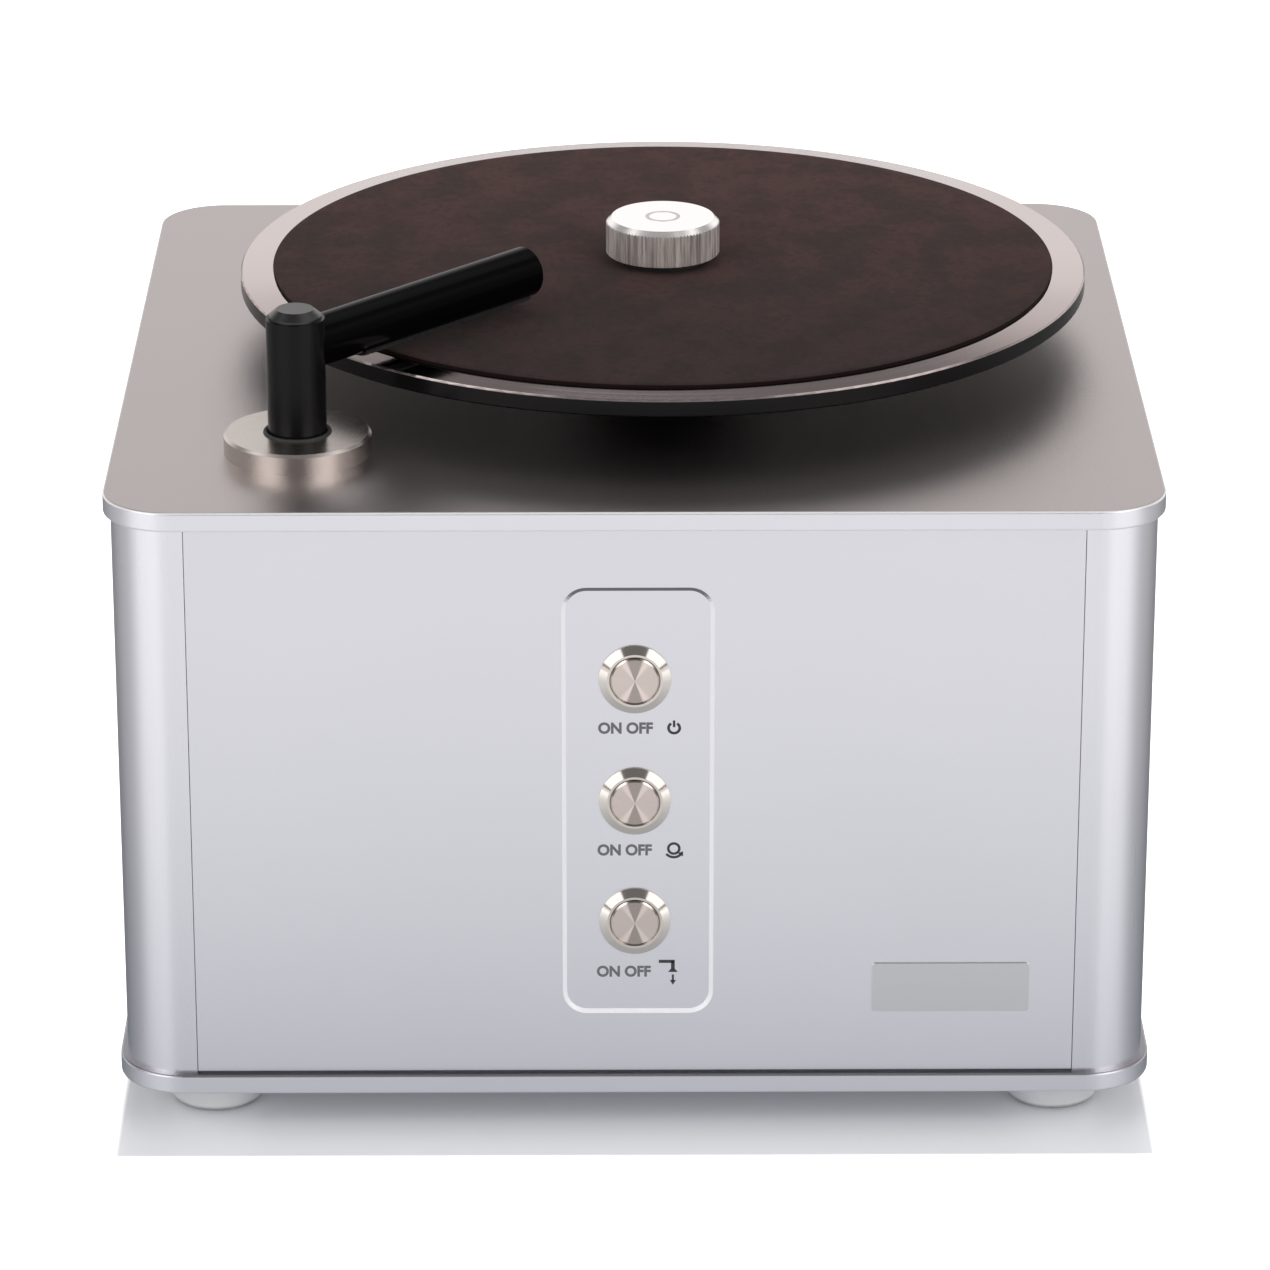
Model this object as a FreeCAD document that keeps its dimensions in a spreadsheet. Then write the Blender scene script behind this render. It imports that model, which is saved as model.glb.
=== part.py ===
import FreeCAD, Part
import math
import os
import re

import Sketcher

# A record cleaning machine: a flat aluminium case on four soft feet, a platter with a mat and a screw-down
# clamp, and a swinging suction arm over it. Inside are the platter's bearing and belt drive, the vacuum
# motor, the waste tank with its hoses and drain tap, and the mains inlet with its board.
#
# Frame: +X to the right, +Y to the back, +Z up. The origin is under the middle of the whole machine, on
# the surface it stands on. All lengths are in millimetres.

doc = FreeCAD.newDocument("record_cleaning_machine")

SIZES = (
    # case
    ("plate_width", 340.0),
    ("plate_depth", 328.0),
    ("plate_thick", 6.5),
    ("plate_round", 22.0),
    ("plate_easing", 0.8),
    ("plate_lip", 2.4),
    ("case_height", 190.0),
    ("panel_thick", 3.0),
    ("seam_gap", 0.3),
    ("panel_rebate", 0.8),
    ("panel_tongue", 0.8),
    ("corner_leg", 24.1),
    ("corner_round", 19.6),
    ("corner_flange", 8.0),
    ("corner_wall", 2.2),
    ("corner_core", 17.0),
    ("corner_core_round", 3.0),
    ("port_inset", 11.0),
    ("port_radius", 2.65),
    ("bolt_radius", 2.45),
    ("bolt_head_radius", 4.5),
    ("bolt_head_height", 3.8),
    ("bolt_bite", 4.4),
    ("bolt_play", 0.3),
    # feet
    ("foot_radius", 15.5),
    ("foot_height", 14.5),
    ("foot_edge", 3.0),
    ("foot_web", 4.0),
    ("foot_inset", 31.0),
    ("foot_screw_radius", 1.95),
    ("foot_screw_head", 3.9),
    ("foot_screw_head_height", 3.0),
    ("foot_screw_bite", 5.0),
    # control recess, switches and buttons
    ("recess_width", 49.0),
    ("recess_height", 148.9),
    ("recess_round", 8.0),
    ("recess_bevel", 1.35),
    ("recess_depth", 0.75),
    ("recess_offset", 1.0),
    ("recess_drop", 26.3),
    ("switch_drop", 57.95),
    ("switch_pitch", 42.3),
    ("bezel_radius", 11.6),
    ("bezel_height", 1.8),
    ("bezel_edge", 0.5),
    ("bezel_slope", 2.6),
    ("bezel_lip", 0.3),
    ("switch_bush_radius", 9.5),
    ("switch_bush_length", 9.5),
    ("switch_can_radius", 8.8),
    ("switch_can_length", 18.5),
    ("switch_well", 8.3),
    ("button_radius", 7.85),
    ("button_stand", 2.2),
    ("button_depth", 4.5),
    ("button_bevel", 0.5),
    ("nut_flats", 23.0),
    ("nut_height", 3.0),
    ("running_play", 0.1),
    # platter, mat, spindle and bearing
    ("spindle_x", 10.7),
    ("spindle_y", 26.4),
    ("platter_radius", 145.0),
    ("platter_thick", 5.9),
    ("platter_top", 21.7),
    ("platter_bevel", 0.6),
    ("hub_radius", 28.0),
    ("hub_flare", 5.0),
    ("hub_gap", 3.0),
    ("mat_radius", 133.9),
    ("mat_thick", 1.5),
    ("mat_bevel", 0.4),
    ("spindle_radius", 3.5),
    ("spindle_stand", 9.2),
    ("spindle_nose", 1.2),
    ("shaft_radius", 6.0),
    ("shaft_cover", 3.0),
    ("nose_radius", 17.9),
    ("nose_stand", 1.0),
    ("bearing_flange_radius", 32.0),
    ("bearing_flange_thick", 5.0),
    ("bearing_radius", 15.0),
    ("bearing_length", 60.0),
    ("bush_wall", 2.0),
    ("bush_length", 12.0),
    ("washer_radius", 11.0),
    ("bush_play", 0.05),
    # belt drive
    ("pulley_drop", 81.0),
    ("pulley_width", 12.0),
    ("pulley_flange", 1.4),
    ("pulley_lip", 1.0),
    ("platter_pulley_radius", 45.0),
    ("pulley_rim", 7.0),
    ("pulley_web", 4.0),
    ("pulley_hub_radius", 12.0),
    ("pulley_hub_length", 14.0),
    ("motor_pulley_radius", 15.0),
    ("belt_width", 6.0),
    ("belt_thick", 1.0),
    ("belt_play", 0.2),
    ("motor_x", 78.0),
    ("motor_y", -45.0),
    ("motor_radius", 25.0),
    ("motor_length", 50.0),
    ("motor_boss_radius", 8.0),
    ("motor_shaft_radius", 3.0),
    ("motor_shaft_hold", 11.0),
    ("bracket_thick", 2.5),
    ("bracket_depth", 56.0),
    ("bracket_foot", 14.0),
    ("bracket_play", 2.0),
    ("bracket_gap", 3.0),
    # clamp
    ("clamp_radius", 19.5),
    ("clamp_height", 12.6),
    ("clamp_bevel", 1.9),
    ("clamp_heel", 0.4),
    ("clamp_flute", 0.5),
    ("clamp_flute_pitch", 1.25),
    ("clamp_roof", 2.6),
    ("clamp_pad_thick", 2.5),
    ("clamp_pad_inset", 4.5),
    # suction arm
    ("arm_side_inset", 60.8),
    ("arm_front_inset", 58.8),
    ("arm_heading", 47.4),
    ("flange_radius", 24.05),
    ("flange_height", 6.8),
    ("flange_bevel", 0.9),
    ("seal_wire", 0.75),
    ("seal_sink", 0.75),
    ("sleeve_radius", 13.0),
    ("sleeve_floor", 3.0),
    ("sleeve_depth", 57.0),
    ("sleeve_reach", 3.5),
    ("collar_radius", 18.0),
    ("collar_thick", 4.0),
    ("post_radius", 9.55),
    ("post_wall", 3.6),
    ("post_top", 45.6),
    ("post_depth", 34.0),
    ("cap_height", 3.1),
    ("cap_band", 0.9),
    ("cap_step", 1.0),
    ("cap_face_radius", 6.0),
    ("cap_plug", 2.0),
    ("seat_thick", 2.0),
    ("seat_hole", 4.5),
    ("spring_radius", 7.6),
    ("spring_wire", 0.8),
    ("spring_turns", 5.0),
    ("arm_height", 35.4),
    ("arm_tube_radius", 8.4),
    ("arm_tube_wall", 2.5),
    ("arm_length", 109.7),
    ("end_plug_length", 3.0),
    ("end_plug_bevel", 1.6),
    ("end_plug_spigot", 5.0),
    ("slot_start", 30.0),
    ("slot_width", 3.0),
    ("slot_end_gap", 3.5),
    ("lips_thick", 1.3),
    ("lips_angle", 34.0),
    ("lips_border", 2.5),
    ("barb_radius", 6.0),
    ("barb_bore", 4.0),
    ("barb_length", 14.0),
    ("barb_height", 9.0),
    # waste tank, hoses and drain tap
    ("tank_side_gap", 14.6),
    ("tank_tail_gap", 0.6),
    ("tank_width", 128.0),
    ("tank_depth", 145.0),
    ("tank_height", 90.0),
    ("tank_wall", 3.0),
    ("tank_round", 10.0),
    ("lid_thick", 4.0),
    ("lid_lip", 1.0),
    ("lid_rebate", 3.0),
    ("inlet_inset", 20.0),
    ("outlet_side_inset", 23.0),
    ("outlet_back_inset", 20.0),
    ("spigot_length", 14.0),
    ("outlet_radius", 9.0),
    ("outlet_bore", 7.0),
    ("hose_wall", 1.6),
    ("hose_bend", 35.0),
    ("hose_overlap", 12.0),
    ("hose_end_gap", 1.0),
    ("vacuum_hose_rise", 52.0),
    ("vacuum_side_gap", 14.6),
    ("vacuum_back_gap", 38.6),
    ("vacuum_can_radius", 38.0),
    ("vacuum_can_height", 49.0),
    ("vacuum_fan_radius", 55.0),
    ("vacuum_fan_height", 37.0),
    ("vacuum_round", 6.0),
    ("vacuum_mount_radius", 46.0),
    ("vacuum_mount_thick", 6.0),
    ("drain_height", 14.0),
    ("drain_tail", 22.0),
    ("drain_thread", 9.0),
    ("drain_flange_radius", 13.0),
    ("drain_flange_thick", 4.0),
    ("drain_radius", 10.0),
    ("drain_length", 18.0),
    ("drain_plug_radius", 7.0),
    ("drain_spout", 28.0),
    ("drain_spout_place", 11.0),
    ("drain_shoulder", 14.0),
    ("drain_shoulder_radius", 6.8),
    ("lever_head_radius", 8.0),
    ("lever_head", 2.4),
    ("lever_thick", 3.4),
    ("lever_width", 7.0),
    ("lever_length", 26.0),
    ("lever_gap", 0.2),
    # mains inlet, board and vents
    ("mains_side_gap", 57.6),
    ("mains_height", 42.0),
    ("mains_flange_width", 50.0),
    ("mains_flange_height", 27.0),
    ("mains_flange_thick", 2.5),
    ("mains_round", 4.0),
    ("mains_body_width", 28.0),
    ("mains_body_height", 20.5),
    ("mains_body_depth", 20.0),
    ("socket_width", 24.4),
    ("socket_height", 16.6),
    ("socket_corner", 4.0),
    ("socket_depth", 17.0),
    ("blade_width", 2.0),
    ("blade_height", 4.0),
    ("blade_length", 12.0),
    ("blade_pitch", 7.0),
    ("board_side_gap", 24.6),
    ("board_front_gap", 18.6),
    ("board_width", 100.0),
    ("board_depth", 56.0),
    ("board_thick", 1.6),
    ("board_rise", 8.0),
    ("board_post_radius", 3.5),
    ("board_post_inset", 6.0),
    ("transformer_width", 46.0),
    ("transformer_depth", 38.0),
    ("transformer_height", 34.0),
    ("vent_width", 3.6),
    ("vent_length", 46.0),
    ("vent_pitch", 9.0),
    ("vent_side_gap", 107.6),
    ("vent_rise", 118.0),
)
VENT_COUNT = 8
SWITCHES = ("power", "platter", "vacuum")

# Places worked out from the sizes. The case is set forward by half of what the drain tap's lever reaches
# past the back edge of the plates, so that the origin stays under the middle of the whole machine.
PLACES = (
    ("drain_reach", "drain_length + lever_gap + lever_head + lever_thick"),
    ("case_mid_y", "-(drain_reach - plate_lip) / 2"),
    ("floor_z", "foot_height + plate_thick"),
    ("deck_under_z", "floor_z + case_height"),
    ("deck_z", "deck_under_z + plate_thick"),
    ("case_x", "plate_width / 2 - plate_lip"),
    ("case_y", "plate_depth / 2 - plate_lip"),
    ("front_y", "case_mid_y - case_y"),
    ("back_y", "case_mid_y + case_y"),
    ("port_x", "case_x - port_inset"),
    ("port_y", "case_y - port_inset"),
    ("foot_x", "plate_width / 2 - foot_inset"),
    ("foot_y", "plate_depth / 2 - foot_inset"),
    ("recess_floor_y", "front_y + recess_depth"),
    ("axis_y", "case_mid_y + spindle_y"),
    ("arm_x", "arm_side_inset - plate_width / 2"),
    ("post_y", "case_mid_y - plate_depth / 2 + arm_front_inset"),
    ("drive_y", "case_mid_y + motor_y"),
    ("wall_x", "case_x - panel_thick"),
    ("tank_x", "tank_side_gap + tank_width / 2 - wall_x"),
    ("tank_back_y", "back_y - drain_tail - tank_tail_gap - barb_length"),
    ("tank_mid_y", "tank_back_y - tank_depth / 2"),
    ("tank_top_z", "floor_z + tank_height"),
    ("vacuum_x", "wall_x - vacuum_side_gap - vacuum_fan_radius"),
    ("fan_y", "back_y - panel_thick - vacuum_back_gap - vacuum_fan_radius"),
    ("mat_top", "platter_top + mat_thick"),
    ("clamp_base", "mat_top + clamp_pad_thick"),
    ("hub_base", "hub_gap"),
    ("bush_bore", "shaft_radius + bush_play"),
    ("bush_radius", "bush_bore + bush_wall"),
    ("bearing_base", "-plate_thick - bearing_length"),
    ("pulley_base", "-pulley_drop - pulley_width / 2"),
    ("pulley_head", "-pulley_drop + pulley_width / 2"),
    ("bracket_base", "pulley_head + bracket_gap"),
    ("sleeve_bore", "post_radius + running_play"),
    ("post_bore", "post_radius - post_wall"),
    ("tube_bore", "arm_tube_radius - arm_tube_wall"),
    ("tube_end", "arm_length - end_plug_length"),
    ("slot_end", "tube_end - slot_end_gap"),
    ("barb_level", "barb_height - sleeve_depth"),
    ("outlet_lid_x", "tank_width / 2 - outlet_side_inset"),
    ("outlet_lid_y", "tank_depth / 2 - outlet_back_inset"),
    ("inlet_lid_x", "arm_x - tank_x"),
    ("inlet_lid_y", "inlet_inset - tank_depth / 2"),
    ("lid_top_z", "tank_top_z + lid_thick"),
    ("drain_z", "floor_z + drain_height"),
    ("mains_z", "floor_z + mains_height"),
    ("board_x", "wall_x - board_side_gap - board_width / 2"),
    ("board_mid_y", "front_y + panel_thick + board_front_gap + board_depth / 2"),
    ("mains_x", "case_x - mains_side_gap"),
    ("vent_x", "case_x - vent_side_gap"),
)

sizes = doc.addObject("Spreadsheet::Sheet", "Sizes")
for row, (name, value) in enumerate(SIZES, 1):
    sizes.set("A%d" % row, name)
    sizes.set("B%d" % row, str(value))
    sizes.setAlias("B%d" % row, name)

SHEETS = {name: "Sizes." for name, value in SIZES}


def formula(text):
    """The text as an expression, with its sheet put before each named value."""
    return re.sub(r"[A-Za-z_]\w*", lambda found: SHEETS.get(found[0], "") + found[0], text)


places = doc.addObject("Spreadsheet::Sheet", "Places")
for row, (name, text) in enumerate(PLACES, 1):
    places.set("A%d" % row, name)
    places.set("B%d" % row, "=" + formula(text).replace("Places.", ""))
    places.setAlias("B%d" % row, name)
    SHEETS[name] = "Places."
doc.recompute()


def number(text):
    """The value of an expression of named values."""
    return float(sizes.evalExpression(formula(text)))


def bind(thing, **properties):
    """Ties properties of an object to expressions of named values."""
    for name, text in properties.items():
        thing.setExpression(name, formula(text))


def place(thing, x="0", y="0", z="0", turn="0", axis=(0, 0, 1)):
    """Puts an object at a point, turned by an angle about an axis."""
    spin = FreeCAD.Rotation(FreeCAD.Vector(*axis), number(turn))
    thing.Placement = FreeCAD.Placement(FreeCAD.Vector(number(x), number(y), number(z)), spin)
    for part, text in (("x", x), ("y", y), ("z", z)):
        thing.setExpression("Placement.Base." + part, formula(text))
    return thing


def arc_between(start, end, radius, sense):
    """The circle arc of a radius from start to end; sense is 1 anticlockwise and -1 clockwise."""
    chord = end - start
    rise = math.sqrt(max(radius**2 - (chord.Length / 2) ** 2, 0.0))
    left = FreeCAD.Vector(-chord.y, chord.x, 0).normalize()
    centre = (start + end) * 0.5 + left * (rise * sense)
    first, last = (start, end) if sense > 0 else (end, start)
    angles = [math.atan2(p.y - centre.y, p.x - centre.x) for p in (first, last)]
    circle = Part.Circle(centre, FreeCAD.Vector(0, 0, 1), radius)
    return Part.ArcOfCircle(circle, angles[0], angles[1])


def add_outline(sketch, points):
    """A closed outline in a sketch. A point is (x, y), or (x, y, radius, sense) at the end of an arc."""
    count = len(points)
    spots = [FreeCAD.Vector(number(p[0]), number(p[1]), 0) for p in points]
    lines = []
    for i in range(count):
        start, end, goal = spots[i], spots[(i + 1) % count], points[(i + 1) % count]
        if len(goal) == 4:
            arc = sketch.addGeometry(arc_between(start, end, number(goal[2]), goal[3]), False)
            lines.append((arc, 1, 2) if goal[3] > 0 else (arc, 2, 1))
            rule = sketch.addConstraint(Sketcher.Constraint("Radius", arc, number(goal[2])))
            sketch.setExpression("Constraints[%d]" % rule, formula(goal[2]))
        else:
            lines.append((sketch.addGeometry(Part.LineSegment(start, end), False), 1, 2))
    for i in range(count):
        line, begin, finish = lines[i]
        before = lines[i - 1]
        sketch.addConstraint(Sketcher.Constraint("Coincident", before[0], before[2], line, begin))
        for kind, text in (("DistanceX", points[i][0]), ("DistanceY", points[i][1])):
            rule = sketch.addConstraint(Sketcher.Constraint(kind, -1, 1, line, begin, number(text)))
            sketch.setExpression("Constraints[%d]" % rule, formula(text))


def add_circle(sketch, x, y, radius):
    """A circle in a sketch."""
    middle = FreeCAD.Vector(number(x), number(y), 0)
    ring = sketch.addGeometry(Part.Circle(middle, FreeCAD.Vector(0, 0, 1), number(radius)), False)
    rule = sketch.addConstraint(Sketcher.Constraint("Radius", ring, number(radius)))
    sketch.setExpression("Constraints[%d]" % rule, formula(radius))
    for kind, text in (("DistanceX", x), ("DistanceY", y)):
        rule = sketch.addConstraint(Sketcher.Constraint(kind, -1, 1, ring, 3, number(text)))
        sketch.setExpression("Constraints[%d]" % rule, formula(text))


def box_outline(width, height, x="0", y="0"):
    """The corners of a rectangle about a middle."""
    left, right = "%s - (%s) / 2" % (x, width), "%s + (%s) / 2" % (x, width)
    low, high = "%s - (%s) / 2" % (y, height), "%s + (%s) / 2" % (y, height)
    return [(left, low), (right, low), (right, high), (left, high)]


def round_outline(width, height, radius, x="0", y="0"):
    """The outline of a rectangle with round corners about a middle."""
    (left, low), (right, _), (_, high), _ = box_outline(width, height, x, y)
    return [
        (left, "%s + %s" % (low, radius)),
        ("%s + %s" % (left, radius), low, radius, 1),
        ("%s - (%s)" % (right, radius), low),
        (right, "%s + %s" % (low, radius), radius, 1),
        (right, "%s - (%s)" % (high, radius)),
        ("%s - (%s)" % (right, radius), high, radius, 1),
        ("%s + %s" % (left, radius), high),
        (left, "%s - (%s)" % (high, radius), radius, 1),
    ]


def new_body(name):
    """An empty body, named after its node."""
    return doc.addObject("PartDesign::Body", name)


def draw(body, plane, outlines=(), circles=(), level="0"):
    """A sketch on one of the body's own planes, moved along the plane's normal by a level."""
    sketch = body.newObject("Sketcher::SketchObject", body.Name + "_sketch")
    ground = [thing for thing in body.Origin.OriginFeatures if thing.Role == plane + "_Plane"][0]
    sketch.AttachmentSupport = [(ground, "")]
    sketch.MapMode = "FlatFace"
    sketch.setExpression("AttachmentOffset.Base.z", formula(level))
    for points in outlines:
        add_outline(sketch, points)
    for x, y, radius in circles:
        add_circle(sketch, x, y, radius)
    doc.recompute()
    return sketch


def pad(body, sketch, length, back=False):
    """Adds the sketch's area, along its plane's normal or the other way."""
    step = body.newObject("PartDesign::Pad", body.Name + "_pad")
    step.Profile = sketch
    step.Reversed = back
    bind(step, Length=length)
    doc.recompute()
    return step


def pocket(body, sketch, length=None, back=False):
    """Cuts the sketch's area against its plane's normal, or along it; with no length, all the way."""
    step = body.newObject("PartDesign::Pocket", body.Name + "_pocket")
    step.Profile = sketch
    step.Reversed = back
    if length:
        bind(step, Length=length)
    else:
        step.Type = "ThroughAll"
    before = step.BaseFeature.Shape.Volume
    doc.recompute()
    if step.Shape.Volume > before - 1e-6:
        raise RuntimeError("a pocket of %s cuts nothing" % body.Name)
    return step


def turned(name, outline, plane="XZ", about="V_Axis"):
    """A body revolved about an axis of its sketch."""
    body = new_body(name)
    sketch = draw(body, plane, [outline])
    step = body.newObject("PartDesign::Revolution", name + "_turn")
    step.Profile = sketch
    step.ReferenceAxis = (sketch, [about])
    step.Angle = 360
    doc.recompute()
    return body


def groove(body, outline, plane="XZ", about="V_Axis"):
    """Cuts a revolved area out of a body."""
    sketch = draw(body, plane, [outline])
    step = body.newObject("PartDesign::Groove", body.Name + "_groove")
    step.Profile = sketch
    step.ReferenceAxis = (sketch, [about])
    step.Angle = 360
    doc.recompute()
    return step


def tube(name, outer, inner, low, high, edge="0"):
    """A round tube along Z from one level to another, with an eased top outer edge where it has one."""
    if number(edge) == 0:
        return turned(name, [(inner, low), (outer, low), (outer, high), (inner, high)])
    shoulder = (outer, "%s - %s" % (high, edge))
    rim = ("%s - %s" % (outer, edge), high)
    return turned(name, [(inner, low), (outer, low), shoulder, rim, (inner, high)])


def rim_edges(shape, level):
    """The names of the edges round the outside of the flat faces that lie at a level."""
    names = []
    for face in shape.Faces:
        box = face.BoundBox
        if abs(box.ZMin - level) > 1e-6 or abs(box.ZMax - level) > 1e-6:
            continue
        rim = face.OuterWire.Edges
        for count, edge in enumerate(shape.Edges, 1):
            if any(edge.isSame(other) for other in rim):
                names.append("Edge%d" % count)
    return names


def ease(body, levels, radius):
    """Rounds the outside edges of a body's flat faces at the levels."""
    base = body.Tip
    names = sorted({name for level in levels for name in rim_edges(base.Shape, number(level))})
    step = body.newObject("PartDesign::Fillet", body.Name + "_fillet")
    step.Base = (base, names)
    bind(step, Radius=radius)
    doc.recompute()
    return step


def group(name, members):
    """Equal pieces that stay separate solids in one node."""
    bundle = doc.addObject("Part::Compound", name)
    bundle.Links = members
    return bundle


def solid(name, shape):
    """A node whose shape is worked out by Part's own functions."""
    thing = doc.addObject("Part::Feature", name)
    thing.Shape = shape
    return thing


# Case plates

def top_plate():
    body = new_body("top_plate")
    holes = [
        ("spindle_x", "spindle_y", "nose_radius + running_play"),
        ("arm_x", "post_y - case_mid_y", "sleeve_radius + running_play"),
    ]
    outline = round_outline("plate_width", "plate_depth", "plate_round")
    pad(body, draw(body, "XY", [outline], holes), "plate_thick")
    ease(body, ["0", "plate_thick"], "plate_easing")
    ports = [(x, y, "bolt_radius + bush_play") for x, y in corners("port_x", "port_y")]
    pocket(body, draw(body, "XY", circles=ports), "bolt_bite + bolt_play", back=True)
    return place(body, y="case_mid_y", z="deck_under_z")


def bottom_plate():
    body = new_body("bottom_plate")
    holes = [(x, y, "port_radius") for x, y in corners("port_x", "port_y")]
    holes += [(x, y, "foot_screw_radius + bush_play") for x, y in corners("foot_x", "foot_y")]
    outline = round_outline("plate_width", "plate_depth", "plate_round")
    pad(body, draw(body, "XY", [outline], holes), "plate_thick")
    ease(body, ["0", "plate_thick"], "plate_easing")
    sinks = [(x, y, "bolt_head_radius + running_play") for x, y in corners("port_x", "port_y")]
    pocket(body, draw(body, "XY", circles=sinks), "bolt_head_height + bolt_play", back=True)
    return place(body, y="case_mid_y", z="foot_height")


def corners(x, y):
    """The four corners about the middle of the case, front left first and then round to the right."""
    return [("-(%s)" % x, "-(%s)" % y), (x, "-(%s)" % y), (x, y), ("-(%s)" % x, y)]


# Corner extrusions, panels and what holds the case together

CORNER_NAMES = ("front_left", "front_right", "rear_right", "rear_left")


def corner_post(name, x, y, turn):
    """An extruded corner: round outside, a step and a flange for each panel, and a port for the bolt."""
    inner = "panel_thick + corner_wall"
    reach = "corner_leg + corner_flange"
    outline = [
        ("corner_round", "0", "corner_round", 1),
        ("corner_leg", "0"),
        ("corner_leg", "panel_thick"),
        (reach, "panel_thick"),
        (reach, inner),
        ("corner_core", inner),
        ("corner_core", "corner_core - corner_core_round"),
        ("corner_core - corner_core_round", "corner_core", "corner_core_round", 1),
        (inner, "corner_core"),
        (inner, reach),
        ("panel_thick", reach),
        ("panel_thick", "corner_leg"),
        ("0", "corner_leg"),
        ("0", "corner_round"),
    ]
    body = new_body("corner_" + name)
    port = [("port_inset", "port_inset", "port_radius")]
    pad(body, draw(body, "XY", [outline], port), "case_height")
    return place(body, x, "case_mid_y " + y, "floor_z", turn)


def plain_panel(name, half_width):
    """A flat panel, its outer face towards -Y, with a narrow rebate along the foot of that face."""
    body = new_body(name)
    width = "2 * (%s)" % half_width
    pad(body, draw(body, "XZ", [box_outline(width, "case_height", y="case_height / 2")]), "panel_thick")
    foot_line = box_outline(width, "panel_rebate", y="panel_rebate / 2")
    pocket(body, draw(body, "XZ", [foot_line], level="panel_thick"), "panel_thick - panel_tongue")
    return body


def front_panel():
    """The front panel with its bevelled recess and the three holes of the switches."""
    body = plain_panel("front_panel", "case_x - corner_leg - seam_gap")
    middle = "case_height + plate_thick - recess_drop - recess_height / 2"
    mouth = round_outline("recess_width", "recess_height", "recess_round", "recess_offset", middle)
    narrow = [text + " - 2 * recess_bevel" for text in ("recess_width", "recess_height")]
    bed = round_outline(narrow[0], narrow[1], "recess_round - recess_bevel", "recess_offset", middle)
    step = body.newObject("PartDesign::SubtractiveLoft", "front_panel_recess")
    step.Profile = draw(body, "XZ", [mouth], level="panel_thick")
    step.Sections = [draw(body, "XZ", [bed], level="panel_thick - recess_depth")]
    step.Ruled = True
    doc.recompute()
    hole = "switch_bush_radius + running_play"
    holes = [("0", switch_level(i) + " - floor_z", hole) for i in range(len(SWITCHES))]
    pocket(body, draw(body, "XZ", circles=holes, level="panel_thick"))
    return place(body, y="front_y + panel_thick", z="floor_z")


def switch_level(i):
    """The height of a switch's axis, from the top one down."""
    return "deck_z - switch_drop - %d * switch_pitch" % i


def rear_panel():
    """The rear panel with the drain's hole, the inlet's cut-out and a row of vent slots."""
    body = plain_panel("rear_panel", "case_x - corner_leg - seam_gap")
    cut = box_outline("mains_body_width + 2 * running_play", "mains_body_height + 2 * running_play",
                      "-mains_x", "mains_height")
    drain = [("-tank_x", "drain_height", "drain_thread + running_play")]
    pocket(body, draw(body, "XZ", [cut], drain, level="panel_thick"))
    side, end = "vent_width / 2", "(vent_length / 2 - vent_width / 2)"
    slot = [
        ("-vent_x - " + side, "vent_rise - " + end),
        ("-vent_x", "vent_rise - vent_length / 2", side, 1),
        ("-vent_x + " + side, "vent_rise - " + end, side, 1),
        ("-vent_x + " + side, "vent_rise + " + end),
        ("-vent_x", "vent_rise + vent_length / 2", side, 1),
        ("-vent_x - " + side, "vent_rise + " + end, side, 1),
    ]
    first = pocket(body, draw(body, "XZ", [slot], level="panel_thick"))
    row = body.newObject("PartDesign::LinearPattern", "rear_panel_vents")
    row.Originals = [first]
    row.Direction = (first.Profile[0], ["H_Axis"])
    row.Occurrences = VENT_COUNT
    row.Mode = "Spacing"
    row.Reversed = True
    bind(row, Offset="vent_pitch")
    body.Tip = row
    doc.recompute()
    return place(body, y="back_y - panel_thick", z="floor_z", turn="180")


def side_panel(name, x, turn):
    body = plain_panel(name, "case_y - corner_leg - seam_gap")
    return place(body, x, "case_mid_y", "floor_z", turn)


def tie_bolts():
    """The four long bolts that pull the plates together through the corners' ports."""
    bolts = []
    head = "foot_height + bolt_head_height + bolt_play"
    tip = "deck_under_z + bolt_bite"
    for i, (x, y) in enumerate(corners("port_x", "port_y")):
        low = "%s - bolt_head_height" % head
        bolt = turned("tie_bolt_%d" % (i + 1), [
            ("0", low), ("bolt_head_radius", low), ("bolt_head_radius", head),
            ("bolt_radius", head), ("bolt_radius", tip), ("0", tip),
        ])
        bolts.append(place(bolt, x, "case_mid_y + " + y))
    return group("tie_bolts", bolts)


def foot(name, x, y):
    """A soft foot, round at its lower edge, with a stepped hole for its screw."""
    well = "foot_height - foot_web"
    body = turned("foot_" + name, [
        ("foot_screw_radius + running_play", well),
        ("foot_screw_head + running_play", well),
        ("foot_screw_head + running_play", "0"),
        ("foot_radius - foot_edge", "0"),
        ("foot_radius", "foot_edge", "foot_edge", 1),
        ("foot_radius", "foot_height"),
        ("foot_screw_radius + running_play", "foot_height"),
    ])
    return place(body, x, "case_mid_y + " + y)


def foot_screws():
    """The screws that hold the feet, with their heads up inside the feet."""
    screws = []
    head = "foot_height - foot_web"
    low, tip = head + " - foot_screw_head_height", "foot_height + foot_screw_bite"
    for i, (x, y) in enumerate(corners("foot_x", "foot_y")):
        screw = turned("foot_screw_%d" % (i + 1), [
            ("0", low), ("foot_screw_head", low), ("foot_screw_head", head),
            ("foot_screw_radius", head), ("foot_screw_radius", tip), ("0", tip),
        ])
        screws.append(place(screw, x, "case_mid_y + " + y))
    return group("foot_screws", screws)


# Switches and buttons

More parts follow.
